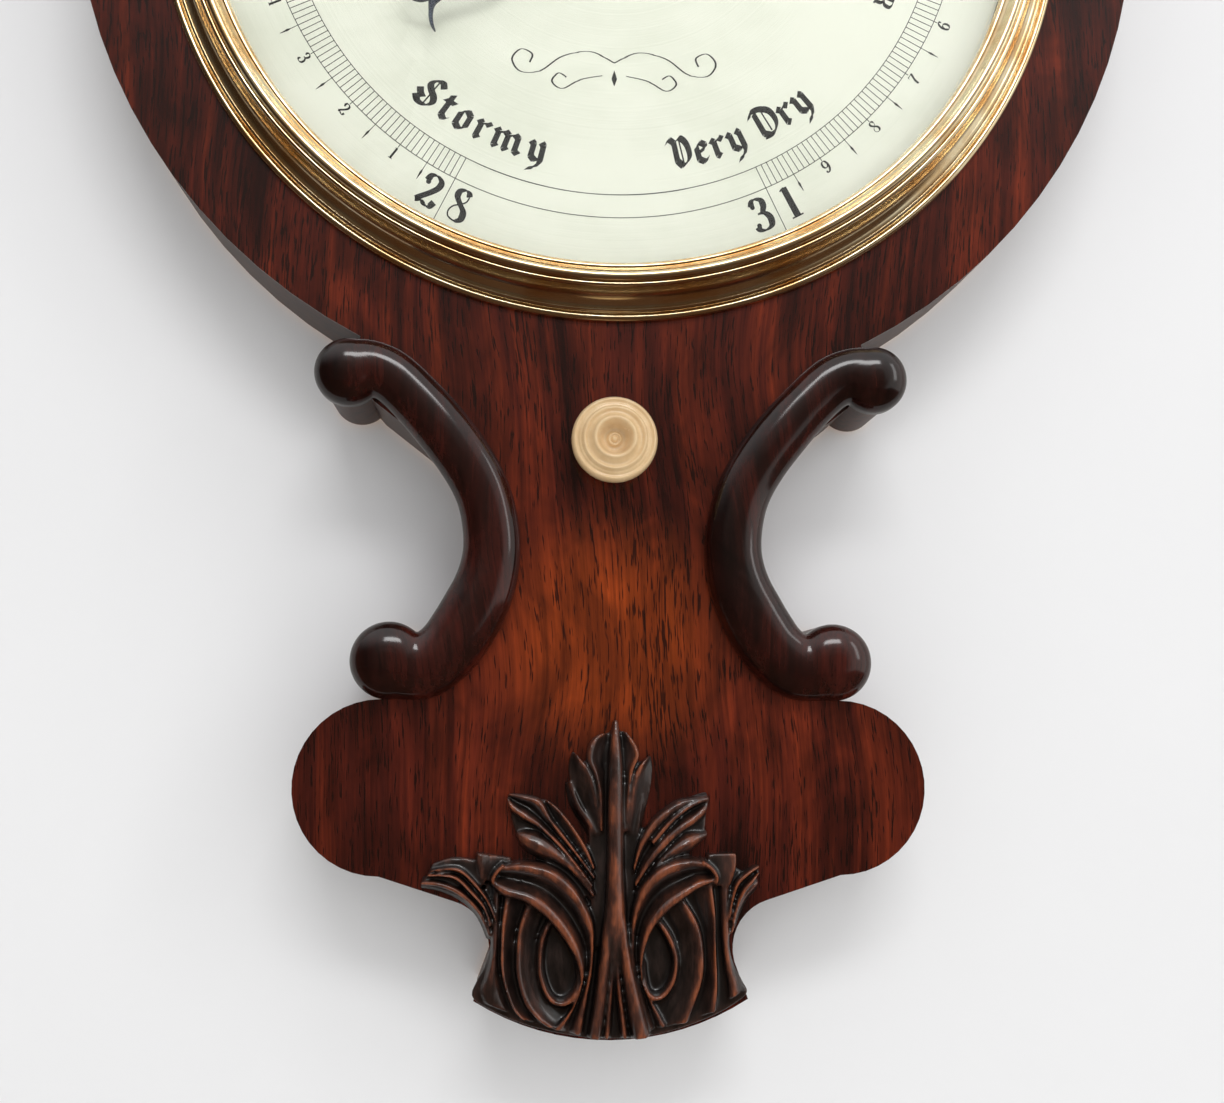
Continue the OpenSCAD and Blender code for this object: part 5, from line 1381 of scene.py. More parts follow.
@dataclass
class Mercury:
    """The mercury in the siphon tube: its two surfaces rise and fall with the weights that they carry."""

    columns: tuple[tuple[str, str], ...] = (("mercury_short", "float"), ("mercury_long", "counterweight"))

    def build(self) -> None:
        """Makes each leg stretch between the bend of the tube and its moving surface."""
        floor = bench_box("mercury_short")[0].y
        for node, body in self.columns:
            bm = bmesh.new()
            bm.from_mesh(frame["nodes"][node].data)
            bmesh.ops.remove_doubles(bm, verts=bm.verts, dist=0.001 * MM)
            bmesh.ops.transform(bm, matrix=BENCH.inverted(), verts=bm.verts)
            low, high = bench_box(node)
            centre = (low + high) / 2
            start, end = (BENCH @ Vector((centre.x, y, centre.z)) for y in (floor, high.y))
            stretch_piece(node + "_column", bm, QUICKSILVER, body, "mercury", node, (start, end))


class Mark(Enum):
    """Kinds of engraved stroke."""

    CURVE = "a smooth stroke, thick and thin by its direction"
    LINE = "straight strokes, thick and thin by their direction"
    HAIR = "a straight hairline"
    THREAD = "a smooth hairline"
    BALL = "a round dot, given by its middle and its radius"


CURVE, LINE, HAIR, THREAD, BALL = Mark
Stroke = tuple[Mark, tuple[Place, ...]]
Signs = dict[str, tuple[float, tuple[Stroke, ...]]]

# Each sign's width, then its strokes, for a height of one above the line.
NUMERALS: Signs = {
    "0": (0.6, ((CURVE, ((0.3, 0.985), (0.12, 0.8), (0.08, 0.5), (0.12, 0.2), (0.3, 0.015), (0.48, 0.2),
        (0.52, 0.5), (0.48, 0.8), (0.3, 0.985))),)),
    "1": (0.42, ((LINE, ((0.22, 0.97), (0.22, 0.03))), (HAIR, ((0.22, 0.97), (0.08, 0.9))),
        (HAIR, ((0.06, 0.015), (0.38, 0.015))))),
    "2": (0.58, ((BALL, ((0.13, 0.72), (0.075, 0))), (CURVE, ((0.08, 0.74), (0.13, 0.93), (0.29, 0.985),
        (0.45, 0.88), (0.46, 0.7), (0.34, 0.48), (0.16, 0.24), (0.06, 0.09))), (CURVE, ((0.06, 0.06),
        (0.2, 0.12), (0.34, 0.05), (0.46, 0.06), (0.53, 0.24))))),
    "3": (0.56, ((BALL, ((0.13, 0.78), (0.07, 0))), (BALL, ((0.12, 0.2), (0.07, 0))), (CURVE, ((0.09, 0.8),
        (0.16, 0.95), (0.28, 0.985), (0.42, 0.9), (0.43, 0.72), (0.33, 0.56), (0.2, 0.535))),
        (CURVE, ((0.2, 0.535), (0.38, 0.5), (0.48, 0.33), (0.44, 0.1), (0.27, 0.015), (0.12, 0.06),
        (0.07, 0.18))))),
    "4": (0.6, ((HAIR, ((0.4, 0.98), (0.04, 0.28))), (HAIR, ((0.04, 0.27), (0.56, 0.27))),
        (LINE, ((0.42, 0.98), (0.42, 0.02))), (HAIR, ((0.28, 0.015), (0.56, 0.015))))),
    "5": (0.56, ((HAIR, ((0.12, 0.97), (0.1, 0.5))), (BALL, ((0.12, 0.2), (0.07, 0))),
        (CURVE, ((0.12, 0.95), (0.3, 0.92), (0.48, 0.97))), (CURVE, ((0.1, 0.5), (0.22, 0.58), (0.38, 0.55),
        (0.48, 0.36), (0.42, 0.09), (0.25, 0.015), (0.11, 0.07), (0.07, 0.18))))),
    "6": (0.58, ((BALL, ((0.43, 0.84), (0.06, 0))), (CURVE, ((0.46, 0.86), (0.36, 0.975), (0.22, 0.9),
        (0.1, 0.65), (0.08, 0.35), (0.16, 0.08), (0.29, 0.015), (0.44, 0.1), (0.49, 0.32), (0.42, 0.52),
        (0.29, 0.58), (0.14, 0.48), (0.09, 0.36))))),
    "7": (0.54, ((HAIR, ((0.06, 0.8), (0.08, 0.95))), (CURVE, ((0.08, 0.95), (0.25, 0.92), (0.5, 0.96))),
        (CURVE, ((0.5, 0.95), (0.36, 0.66), (0.25, 0.36), (0.22, 0.03))))),
    "8": (0.6, ((CURVE, ((0.46, 0.84), (0.4, 0.95), (0.29, 0.985), (0.16, 0.9), (0.15, 0.73), (0.3, 0.54),
        (0.46, 0.36), (0.48, 0.14), (0.38, 0.03), (0.29, 0.015))), (THREAD, ((0.29, 0.015), (0.14, 0.08),
        (0.09, 0.24), (0.16, 0.42), (0.33, 0.55), (0.44, 0.68), (0.46, 0.84))))),
    "9": (0.58, ((BALL, ((0.15, 0.16), (0.06, 0))), (CURVE, ((0.12, 0.14), (0.22, 0.025), (0.36, 0.1),
        (0.48, 0.35), (0.5, 0.65), (0.42, 0.92), (0.29, 0.985), (0.14, 0.9), (0.09, 0.68), (0.16, 0.48),
        (0.29, 0.42), (0.44, 0.52), (0.49, 0.64))))),
}
# Strokes that several capitals share, between a left and a right post.
LEFT, RIGHT = 0.2, 0.68
POST: Stroke = (LINE, ((LEFT, 0.98), (LEFT, 0.02)))
HEAD_SERIF: Stroke = (HAIR, ((0.08, 0.985), (0.32, 0.985)))
FOOT_SERIF: Stroke = (HAIR, ((0.08, 0.015), (0.32, 0.015)))
RIGHT_SERIF: Stroke = (HAIR, ((0.56, 0.985), (0.8, 0.985)))
TOP_ARM: Stroke = (HAIR, ((0.08, 0.985), (0.64, 0.985)))
MID_ARM: Stroke = (HAIR, ((LEFT, 0.52), (0.5, 0.52)))
BEAK: Stroke = (HAIR, ((0.7, 0.98), (0.7, 0.72)))
BOWL: tuple[Place, ...] = (
    (0.7, 0.74), (0.62, 0.93), (0.42, 1.0), (0.2, 0.86), (0.1, 0.5), (0.2, 0.14), (0.42, 0.0))
CAPITALS: Signs = {
    "A": (0.8, ((HAIR, ((0.06, 0.02), (0.4, 0.98))), (LINE, ((0.4, 0.98), (0.72, 0.02))),
        (HAIR, ((0.18, 0.34), (0.6, 0.34))), (HAIR, ((0, 0.015), (0.2, 0.015))), (HAIR, ((0.58, 0.015),
        (0.84, 0.015))))),
    "C": (0.8, ((CURVE, (*BOWL, (0.62, 0.08), (0.72, 0.28))), BEAK)),
    "E": (0.74, (POST, TOP_ARM, (HAIR, ((0.08, 0.015), (0.68, 0.015))), MID_ARM, (LINE, ((0.63, 0.98),
        (0.63, 0.8))), (LINE, ((0.67, 0.02), (0.67, 0.22))))),
    "F": (0.7, (POST, TOP_ARM, (HAIR, ((0.08, 0.015), (0.36, 0.015))), MID_ARM, (LINE, ((0.63, 0.98),
        (0.63, 0.78))))),
    "G": (0.84, ((CURVE, (*BOWL, (0.6, 0.06), (0.68, 0.16))), (LINE, ((RIGHT, 0.4), (RIGHT, 0.05))),
        (HAIR, ((0.54, 0.4), (0.8, 0.4))), BEAK)),
    "H": (0.88, (POST, (LINE, ((RIGHT, 0.98), (RIGHT, 0.02))), (HAIR, ((LEFT, 0.52), (RIGHT, 0.52))),
        HEAD_SERIF, FOOT_SERIF, RIGHT_SERIF, (HAIR, ((0.56, 0.015), (0.8, 0.015))))),
    "I": (0.4, (POST, HEAD_SERIF, FOOT_SERIF)),
    "M": (1.06, ((HAIR, ((0.18, 0.98), (0.18, 0.02))), (LINE, ((0.18, 0.98), (0.5, 0.03))),
        (HAIR, ((0.5, 0.03), (0.84, 0.98))), (LINE, ((0.86, 0.98), (0.86, 0.02))), (HAIR, ((0.06, 0.015),
        (0.3, 0.015))), (HAIR, ((0.74, 0.015), (0.98, 0.015))))),
    "N": (0.9, ((HAIR, ((LEFT, 0.98), (LEFT, 0.02))), (LINE, ((LEFT, 0.98), (RIGHT, 0.02))),
        (HAIR, ((RIGHT, 0.98), (RIGHT, 0.02))), FOOT_SERIF, RIGHT_SERIF)),
    "R": (0.82, (POST, (CURVE, ((0.2, 0.985), (0.45, 0.985), (0.62, 0.88), (0.6, 0.62), (0.42, 0.5),
        (0.2, 0.5))), (CURVE, ((0.42, 0.5), (0.58, 0.36), (0.62, 0.1), (0.76, 0.02))),
        (HAIR, ((0.08, 0.985), (0.3, 0.985))), FOOT_SERIF)),
    "S": (0.66, ((CURVE, ((0.55, 0.76), (0.5, 0.93), (0.32, 0.99), (0.15, 0.9), (0.14, 0.7), (0.32, 0.54),
        (0.52, 0.38), (0.54, 0.14), (0.36, 0.01), (0.17, 0.06), (0.1, 0.26))), (HAIR, ((0.56, 0.98),
        (0.56, 0.72))), (HAIR, ((0.09, 0.02), (0.09, 0.28))))),
    "T": (0.76, ((LINE, ((0.38, 0.98), (0.38, 0.02))), (HAIR, ((0.06, 0.985), (0.7, 0.985))),
        (HAIR, ((0.26, 0.015), (0.5, 0.015))), (LINE, ((0.07, 0.98), (0.07, 0.78))), (LINE, ((0.69, 0.98),
        (0.69, 0.78))))),
    "U": (0.84, ((CURVE, ((0.2, 0.98), (0.2, 0.3), (0.26, 0.08), (0.42, 0.01), (0.58, 0.1), (0.64, 0.3),
        (0.64, 0.98))), HEAD_SERIF, (HAIR, ((0.54, 0.985), (0.74, 0.985))))),
    " ": (0.5, ()),
}
# The short upright that starts several small letters.
MINIM: Stroke = (LINE, ((0.1, 0.92), (0.22, 0.8), (0.22, 0.16), (0.32, 0.06)))
BLACKLETTER: Signs = {
    "D": (1.08, ((LINE, ((0.3, 1.3), (0.3, 0.22), (0.46, 0.06))), (CURVE, ((0.04, 1.15), (0.22, 1.4),
        (0.6, 1.36), (0.92, 1.05), (0.94, 0.45), (0.66, 0.06), (0.3, 0.06))), (HAIR, ((0.62, 1.22),
        (0.62, 0.2))))),
    "F": (0.95, ((LINE, ((0.34, 1.3), (0.34, 0.1), (0.18, -0.1))), (CURVE, ((0.06, 1.16), (0.3, 1.42),
        (0.6, 1.3), (0.86, 1.42))), (LINE, ((0.2, 0.78), (0.66, 0.78))))),
    "R": (1.05, ((LINE, ((0.28, 1.3), (0.28, 0.2), (0.42, 0.05))), (CURVE, ((0.06, 1.15), (0.24, 1.4),
        (0.6, 1.36), (0.74, 1.12), (0.6, 0.84), (0.34, 0.76))), (CURVE, ((0.5, 0.8), (0.68, 0.5),
        (0.72, 0.2), (0.92, 0.04))))),
    "S": (0.95, ((CURVE, ((0.8, 1.2), (0.62, 1.42), (0.36, 1.32), (0.26, 1.05), (0.42, 0.82), (0.66, 0.62),
        (0.76, 0.34), (0.58, 0.06), (0.28, 0.02), (0.06, 0.24))), (HAIR, ((0.5, 1.36), (0.5, 0.06))),
        (LINE, ((0.02, 0.62), (0.16, 0.42), (0.34, 0.3))))),
    "V": (1.02, ((LINE, ((0.05, 1.25), (0.22, 1.42), (0.38, 1.22), (0.38, 0.35), (0.55, 0.05))),
        (CURVE, ((0.55, 0.05), (0.86, 0.4), (0.86, 1.05), (0.66, 1.4), (0.5, 1.28))), (HAIR, ((0.6, 1.3),
        (0.6, 0.14))))),
    "a": (0.78, ((LINE, ((0.14, 0.8), (0.34, 0.97), (0.52, 0.82), (0.52, 0.16), (0.66, 0.05))),
        (LINE, ((0.52, 0.56), (0.17, 0.36), (0.17, 0.16), (0.3, 0.03), (0.5, 0.2))))),
    "e": (0.66, ((LINE, ((0.17, 0.8), (0.17, 0.2), (0.35, 0.03), (0.52, 0.16))), (LINE, ((0.17, 0.8),
        (0.36, 0.97), (0.52, 0.82), (0.5, 0.66), (0.2, 0.5))))),
    "i": (0.5, ((LINE, ((0.12, 0.92), (0.25, 0.8), (0.25, 0.18), (0.4, 0.06))), (LINE, ((0.2, 1.3),
        (0.3, 1.2))))),
    "m": (1.35, (MINIM, (LINE, ((0.26, 0.72), (0.45, 0.93), (0.62, 0.8), (0.62, 0.16), (0.72, 0.06))),
        (LINE, ((0.66, 0.72), (0.85, 0.93), (1.02, 0.8), (1.02, 0.18), (1.18, 0.06))))),
    "n": (0.95, (MINIM, (LINE, ((0.26, 0.72), (0.45, 0.93), (0.62, 0.8), (0.62, 0.18), (0.78, 0.06))))),
    "o": (0.75, ((LINE, ((0.37, 0.97), (0.17, 0.8), (0.17, 0.2), (0.37, 0.03))), (LINE, ((0.37, 0.97),
        (0.57, 0.8), (0.57, 0.2), (0.37, 0.03))))),
    "r": (0.66, (MINIM, (LINE, ((0.26, 0.74), (0.44, 0.93), (0.58, 0.8))))),
    "t": (0.6, ((LINE, ((0.24, 1.25), (0.24, 0.18), (0.4, 0.04), (0.52, 0.14))), (LINE, ((0.06, 0.9),
        (0.5, 0.9))))),
    "y": (0.85, ((LINE, ((0.1, 0.92), (0.22, 0.8), (0.22, 0.22), (0.4, 0.05), (0.6, 0.2))),
        (LINE, ((0.5, 0.95), (0.6, 0.82), (0.6, 0), (0.45, -0.28), (0.2, -0.42))))),
    " ": (0.3, ()),
}


@dataclass(frozen=True)
class Script:
    """A hand of lettering: its signs, and the flat nib that cuts them, for signs of height one."""

    signs: Signs
    nib: Place
    hair: float
    wide: float = 1.0

    def length(self, text: str, size: float) -> float:
        """Gives the length of a row of signs of some height without the gaps between them."""
        return sum(self.signs[letter][0] for letter in text) * self.wide * size


# An upright pen swells only its downstrokes; a slanted broad one makes the diamond feet of blackletter.
FIGURES = Script(NUMERALS, (0.16, 0.0), 0.046, 1.14)
SMALL_FIGURES = Script(NUMERALS, (0.12, 0.0), 0.05, 1.1)
ROMAN = Script(CAPITALS, (0.17, 0.0), 0.045)
GOTHIC = Script(BLACKLETTER, (0.2, 0.165), 0.075, 1.27)


@dataclass
class Engraver:
    """Cuts wax-filled lines into a flat plate.

    The wax stands a hair above the metal, so that each line is a thin closed solid sunk in the plate.
    """

    plate: float
    proud: float = 0.03
    sunk: float = 0.3

    def __post_init__(self) -> None:
        """Starts with no lines."""
        self.bm = bmesh.new()

    def ribbon(self, edges: Sequence[tuple[Place, Place]]) -> None:
        """Draws one line, still flat.

        Args:
            edges: The places on its left and right, in order.
        """
        low = self.plate - self.sunk
        rows = [(self.bm.verts.new((*one, low)), self.bm.verts.new((*two, low))) for one, two in edges]
        for (a, b), (c, d) in zip(rows, rows[1:]):
            self.bm.faces.new((a, b, d, c))

    def bar(self, one: Place, two: Place, wide: float) -> None:
        """Draws one straight line of even width."""
        side = Vector((two[1] - one[1], one[0] - two[0])).normalized() * wide / 2
        self.ribbon([((p[0] - side.x, p[1] - side.y), (p[0] + side.x, p[1] + side.y)) for p in (one, two)])

    def ring(self, radius: float, wide: float) -> None:
        """Draws one full circle about the dial's centre."""
        self.ribbon([(on_dial(turn, radius - wide / 2), on_dial(turn, radius + wide / 2))
                     for turn in range(361)])

    def fill(self, name: str) -> None:
        """Fills all the lines with wax and puts them on the case.

        Args:
            name: The piece's name.
        """
        flat = self.bm.faces[:]
        grown = bmesh.ops.extrude_face_region(self.bm, geom=flat, use_keep_orig=True)["geom"]
        bmesh.ops.translate(self.bm, vec=(0, 0, self.sunk + self.proud),
                            verts=[g for g in grown if isinstance(g, bmesh.types.BMVert)])
        face_out(self.bm)
        make_piece(name, self.bm, WAX, crease=30.0)

    def sign(self, script: Script, letter: str, size: float, spot: Callable[[float, float], Place]) -> None:
        """Cuts one letter or figure.

        Args:
            script: The hand that it is cut in.
            letter: Which sign.
            size: Its height in millimetres.
            spot: Gives the place on the plate of a point along and above the line.
        """
        for mark, drawn in script.signs[letter][1]:
            points = [(x * script.wide, y) for x, y in drawn]
            if mark is BALL:
                (x, y), radius = points[0], drawn[1][0] * size
                stand = Matrix.Translation((*spot(x * size, y * size), self.plate - self.sunk))
                bmesh.ops.create_circle(self.bm, cap_ends=True, segments=20, radius=radius, matrix=stand)
                continue
            smooth = mark in (CURVE, THREAD)
            runs = [smooth_line(points, steps=6)] if smooth else list(zip(points, points[1:]))
            nib = (0.0, 0.0) if mark in (HAIR, THREAD) else script.nib
            for run in runs:
                self.ribbon(self.sweep(run, nib, script.hair, size, spot))

    def word(self, script: Script, text: str, size: float, start: float, gap: float,
             line: Callable[[float, float], Place]) -> None:
        """Cuts a row of signs.

        Args:
            script: The hand that they are cut in.
            text: The signs.
            size: Their height in millimetres.
            start: Where the first one starts along the line.
            gap: The space between them.
            line: Gives the place on the plate of a point along and above the line.
        """
        at = start
        for letter in text:
            self.sign(script, letter, size, lambda x, y, at=at: line(at + x, y))
            at += script.length(letter, size) + gap

    def sweep(self, path: Sequence[Place], nib: Place, hair: float, size: float,
              spot: Callable[[float, float], Place]) -> list[tuple[Place, Place]]:
        """Draws a flat nib along a path.

        Args:
            path: Where the nib's middle goes.
            nib: The flat edge, as a distance along and above the line.
            hair: The thinnest line that it makes.
            size: Height of the sign in millimetres.
            spot: Gives the place on the plate of a point along and above the line.

        Returns:
            The two edges of the line, as places on the plate.
        """
        edges = []
        for i, (x, y) in enumerate(path):
            ahead, behind = path[min(i + 1, len(path) - 1)], path[max(i - 1, 0)]
            along = Vector((ahead[0] - behind[0], ahead[1] - behind[1])).normalized()
            side = Vector((-along.y, along.x))
            flat = Vector(nib) / 2
            if flat.dot(side) < 0:
                flat = -flat
            if nib[1] == 0:
                flat = side * abs(flat.dot(side))
            flat += side * hair / 2
            edges.append((spot((x + flat.x) * size, (y + flat.y) * size),
                          spot((x - flat.x) * size, (y - flat.y) * size)))
        return edges


def on_dial(angle: float, radius: float) -> Place:
    """Gives a place on the dial by its angle clockwise from straight down, in degrees, and its radius."""
    turn = math.radians(angle)
    return -radius * math.sin(turn), -radius * math.cos(turn)


@dataclass
class Dial:
    """The engraved scale: three inches of mercury in hundredths, with a weather word for each half inch.

    Angles run clockwise from straight down, in degrees. A word has its hand, height, the radius of its
    line, and the angles where it starts and ends. A spear has a width at each radius. The flourish is a
    pair of curls, cut with a small flat pen and mirrored, about a lozenge given as heights and half widths.
    """

    zero: float = 26.2
    inch: float = 102.83
    first: int = 28
    inches: int = 3
    ladder: Place = (83.1, 89.0)
    border: float = 102.7
    line: float = 0.19
    big: float = 8.5
    big_foot: float = 99.0
    big_past: float = 3.0
    apart: float = 2.45
    small: float = 3.2
    small_foot: float = 93.3
    tick: float = 0.9
    spear_rows: tuple[Place, ...] = ((89.0, 0.17), (91.0, 0.17), (91.9, 0.6), (92.6, 0.34), (93.9, 0.12))
    pen: Place = (0.34, 0.0)
    pen_hair: float = 0.14
    curls: tuple[tuple[Place, ...], ...] = (
        ((0.0, -49.0), (6.0, -46.2), (13.0, -47.6), (18.5, -51.5), (23.5, -51.8), (25.6, -48.6),
         (23.4, -46.0), (20.6, -47.2), (21.2, -49.4)),
        ((3.0, -52.4), (8.5, -53.6), (13.0, -56.0), (15.6, -54.2), (14.0, -52.0), (12.0, -53.0)))
    lozenge: tuple[Place, ...] = ((-55.0, 0.05), (-53.2, 0.7), (-51.0, 0.05))
    words: tuple[tuple[str, Script, float, float, float, float], ...] = (
        ("Stormy", GOTHIC, 5.4, 77.6, 40.6, 12.6), ("Very Dry", GOTHIC, 5.4, 77.6, -10.2, -41.4),
        ("MUCH RAIN", ROMAN, 4.7, 72.9, 63.0, 92.2), ("Rain", GOTHIC, 5.4, 71.6, 121.0, 137.0),
        ("CHANGE", ROMAN, 4.7, 72.9, 169.6, 191.2), ("Fair", GOTHIC, 5.4, 71.6, 224.0, 239.8),
        ("SET FAIR", ROMAN, 4.7, 72.9, 271.5, 295.4))

    def build(self) -> None:
        """Engraves the plate."""
        cut = Engraver(bench_box("dial_plate")[1].z)
        for radius in (*self.ladder, self.border):
            cut.ring(radius, self.line)
        for step in range(100 * self.inches + 1):
            angle = self.zero + step * self.inch / 100
            cut.bar(on_dial(angle, self.ladder[0]), on_dial(angle, self.ladder[1]), self.line)
            if step % 100 == 0:
                self.whole(cut, angle, self.first + step // 100)
            elif step % 10 == 0:
                self.tenth(cut, angle, step % 100 // 10)
            elif step % 5 == 0:
                self.spear(cut, angle)
        for word, script, size, foot, start, end in self.words:
            self.write(cut, word, script, size, foot, start, end)
        self.flourish(cut)
        cut.fill("dial_engraving")

    def whole(self, cut: Engraver, angle: float, value: int) -> None:
        """Engraves a whole inch: a line with a large figure on each side of it.

        Args:
            cut: The plate.
            angle: Where the line stands.
            value: The number that it is for.
        """
        cut.bar(on_dial(angle, self.ladder[0]), on_dial(angle, self.big_foot + self.big_past), self.line)
        for figure, side in zip(str(value), (-1, 1)):
            below = math.cos(math.radians(angle)) > 0
            middle = angle + (-side if below else side) * self.apart
            foot = self.big_foot if below else self.big_foot - self.big
            self.write(cut, figure, FIGURES, self.big, foot, middle, middle)

    def tenth(self, cut: Engraver, angle: float, value: int) -> None:
        """Engraves a tenth: a short line with a small figure beyond it.

        Args:
            cut: The plate.
            angle: Where the line stands.
            value: The number that it is for.
        """
        cut.bar(on_dial(angle, self.ladder[1]), on_dial(angle, self.ladder[1] + self.tick), self.line)
        below = math.cos(math.radians(angle)) > 0
        foot = self.small_foot if below else self.small_foot - self.small
        self.write(cut, str(value), SMALL_FIGURES, self.small, foot, angle, angle)

    def spear(self, cut: Engraver, angle: float) -> None:
        """Engraves a half tenth: a fine line that swells near its end.

        Args:
            cut: The plate.
            angle: Where the line stands.
        """
        edges = []
        for radius, wide in self.spear_rows:
            half = math.degrees(wide / 2 / radius)
            edges.append((on_dial(angle - half, radius), on_dial(angle + half, radius)))
        cut.ribbon(edges)

    def write(self, cut: Engraver, text: str, script: Script, size: float, foot: float, start: float,
              end: float) -> None:
        """Engraves a word along an arc, upright for a reader below the dial.

        Args:
            cut: The plate.
            text: The word.
            script: Its hand.
            size: Height of its letters.
            foot: Radius of the line that it stands on.
            start: Angle where it starts.
            end: Angle where it ends. The same as the start for a single sign about its middle.
        """
        outward = end < start or start == end and math.cos(math.radians(start)) > 0
        flow = -1 if outward else 1
        length = script.length(text, size)
        spread = math.radians(abs(end - start)) * foot
        gap = (spread - length) / max(len(text) - 1, 1) if spread else 0.0
        cut.word(script, text, size, 0.0 if spread else -length / 2, gap,
                 lambda x, y: on_dial(start + flow * math.degrees(x / foot), foot + flow * y))

    def flourish(self, cut: Engraver) -> None:
        """Engraves a plain pen flourish under the centre: mirrored curls about a small lozenge.

        Args:
            cut: The plate.
        """
        for curl in self.curls:
            path = smooth_line(curl, steps=8)
            for side in (-1.0, 1.0):
                mirrored = [(side * x, y) for x, y in path]
                cut.ribbon(cut.sweep(mirrored, self.pen, self.pen_hair, 1.0, lambda x, y: (x, y)))
        cut.ribbon([((-half, y), (half, y)) for y, half in self.lozenge])


@dataclass
class IndicatorHand:
    """The blued hand: a slender point, a round boss, and a whip with a crescent for a tail.

    The point gives radii and half widths along its angle from straight up. The whip gives places on the
    dial and half widths. The crescent has a centre, a radius, half widths and the angles that it sweeps.
    """

    turn: float = 45.245
    point: tuple[Place, ...] = (
        (79.0, 0.12), (72.0, 1.1), (63.0, 2.1), (57.0, 2.55), (52.0, 1.9), (46.0, 1.15), (30.0, 1.25),
        (4.0, 1.6))
    whip: tuple[Triple, ...] = (
        (-3.0, -3.0, 1.55), (-14.0, -13.9, 1.35), (-28.4, -28.2, 1.15), (-34.4, -31.8, 1.2),
        (-39.6, -33.4, 1.3), (-43.0, -34.7, 1.4), (-44.8, -36.4, 1.25), (-45.4, -38.0, 0.8),
        (-45.55, -39.5, 0.58), (-45.58, -41.0, 0.52), (-45.35, -42.5, 0.45), (-45.0, -43.6, 0.34),
        (-44.45, -44.7, 0.16))
    boss: float = 6.0
    boss_ease: float = 0.2
    crescent: Triple = (-48.2, -32.9, 4.3)
    crescent_half: tuple[float, ...] = (0.5, 0.62, 0.72, 0.78, 0.7, 0.55, 0.36, 0.12)
    crescent_from: float = -35.0
    crescent_turn: float = -200.0
    ease: float = 0.25

    def build(self) -> None:
        """Cuts the hand from sheet and rivets it to its collet."""
        low, high = bench_box("indicator_hand")
        bm = bmesh.new()
        turn = math.radians(self.turn)
        point = [(r * math.sin(turn), r * math.cos(turn), half) for r, half in self.point]
        x0, y0, reach = self.crescent
        count = len(self.crescent_half) - 1
        horn = []
        for i, half in enumerate(self.crescent_half):
            angle = math.radians(self.crescent_from + self.crescent_turn * i / count)
            horn.append((x0 + (reach - half) * math.cos(angle), y0 + (reach - half) * math.sin(angle), half))
        for line in (point, self.whip, horn):
            self.strip(bm, smooth_line(line, steps=6), low.z, high.z)
        rim, brow = self.boss - self.boss_ease, high.z - self.boss_ease
        lathe(bm, [(0.0, low.z), (self.boss, low.z), (self.boss, brow), (rim, high.z), (0.0, high.z)],
              steps=64)
        make_piece("indicator_hand_cut", bm, BLUED, "indicator", "blued_steel", ("indicator_hand",),
                   crease=35.0)

    def strip(self, bm: Solid, line: Sequence[Sequence[float]], low: float, high: float) -> None:
        """Adds one limb of the hand with its front edges eased.

        Args:
            bm: The mesh that it joins.
            line: Places and half widths.
            low: Height of its back.
            high: Height of its front.
        """
        rings = []
        for i, (x, y, half) in enumerate(line):
            ahead, behind = line[min(i + 1, len(line) - 1)], line[max(i - 1, 0)]
            side = Vector((behind[1] - ahead[1], ahead[0] - behind[0], 0)).normalized()
            spot, ease = Vector((x, y, 0)), min(self.ease, half / 2)
            rows = ((-half, low), (-half, high - ease), (ease - half, high), (half - ease, high),
                    (half, high - ease), (half, low))
            rings.append([spot + side * across + Vector((0, 0, up)) for across, up in rows])
        loft(bm, rings)


@dataclass
class Thermometer:
    """The thermometer's engraved scale: lines on both sides of its tube and a number every ten degrees."""

    lowest: int = 20
    highest: int = 120
    step: int = 2
    foot: float = 306.0
    degree: float = 1.72
    inner: float = 4.4
    short: float = 3.0
    long: float = 5.5
    size: float = 4.2
    number_out: float = 5.0
    line: float = 0.22
    rail: float = 0.18

    def build(self) -> None:
        """Engraves the plate behind the tube."""
        cut = Engraver(bench_box("thermometer_scale")[1].z)
        for value in range(self.lowest, self.highest + 1, self.step):
            y = self.foot + (value - self.lowest) * self.degree
            reach = self.inner + (self.long if value % 10 == 0 else self.short)
            for side in (-1, 1):
                cut.bar((side * self.inner, y), (side * reach, y), self.line)
            if value % 10 == 0:
                for side in (-1, 1):
                    self.write(cut, str(value), side * (self.inner + self.long + self.number_out), y)
        for side in (-1, 1):
            top = self.foot + (self.highest - self.lowest) * self.degree
            cut.bar((side * self.inner, self.foot), (side * self.inner, top), self.rail)
        cut.fill("thermometer_engraving")

    def write(self, cut: Engraver, text: str, x: float, y: float) -> None:
        """Engraves a number about its middle."""
        left, foot = x - FIGURES.length(text, self.size) / 2, y - self.size / 2
        cut.word(FIGURES, text, self.size, left, 0.0, lambda along, above: (along, foot + above))


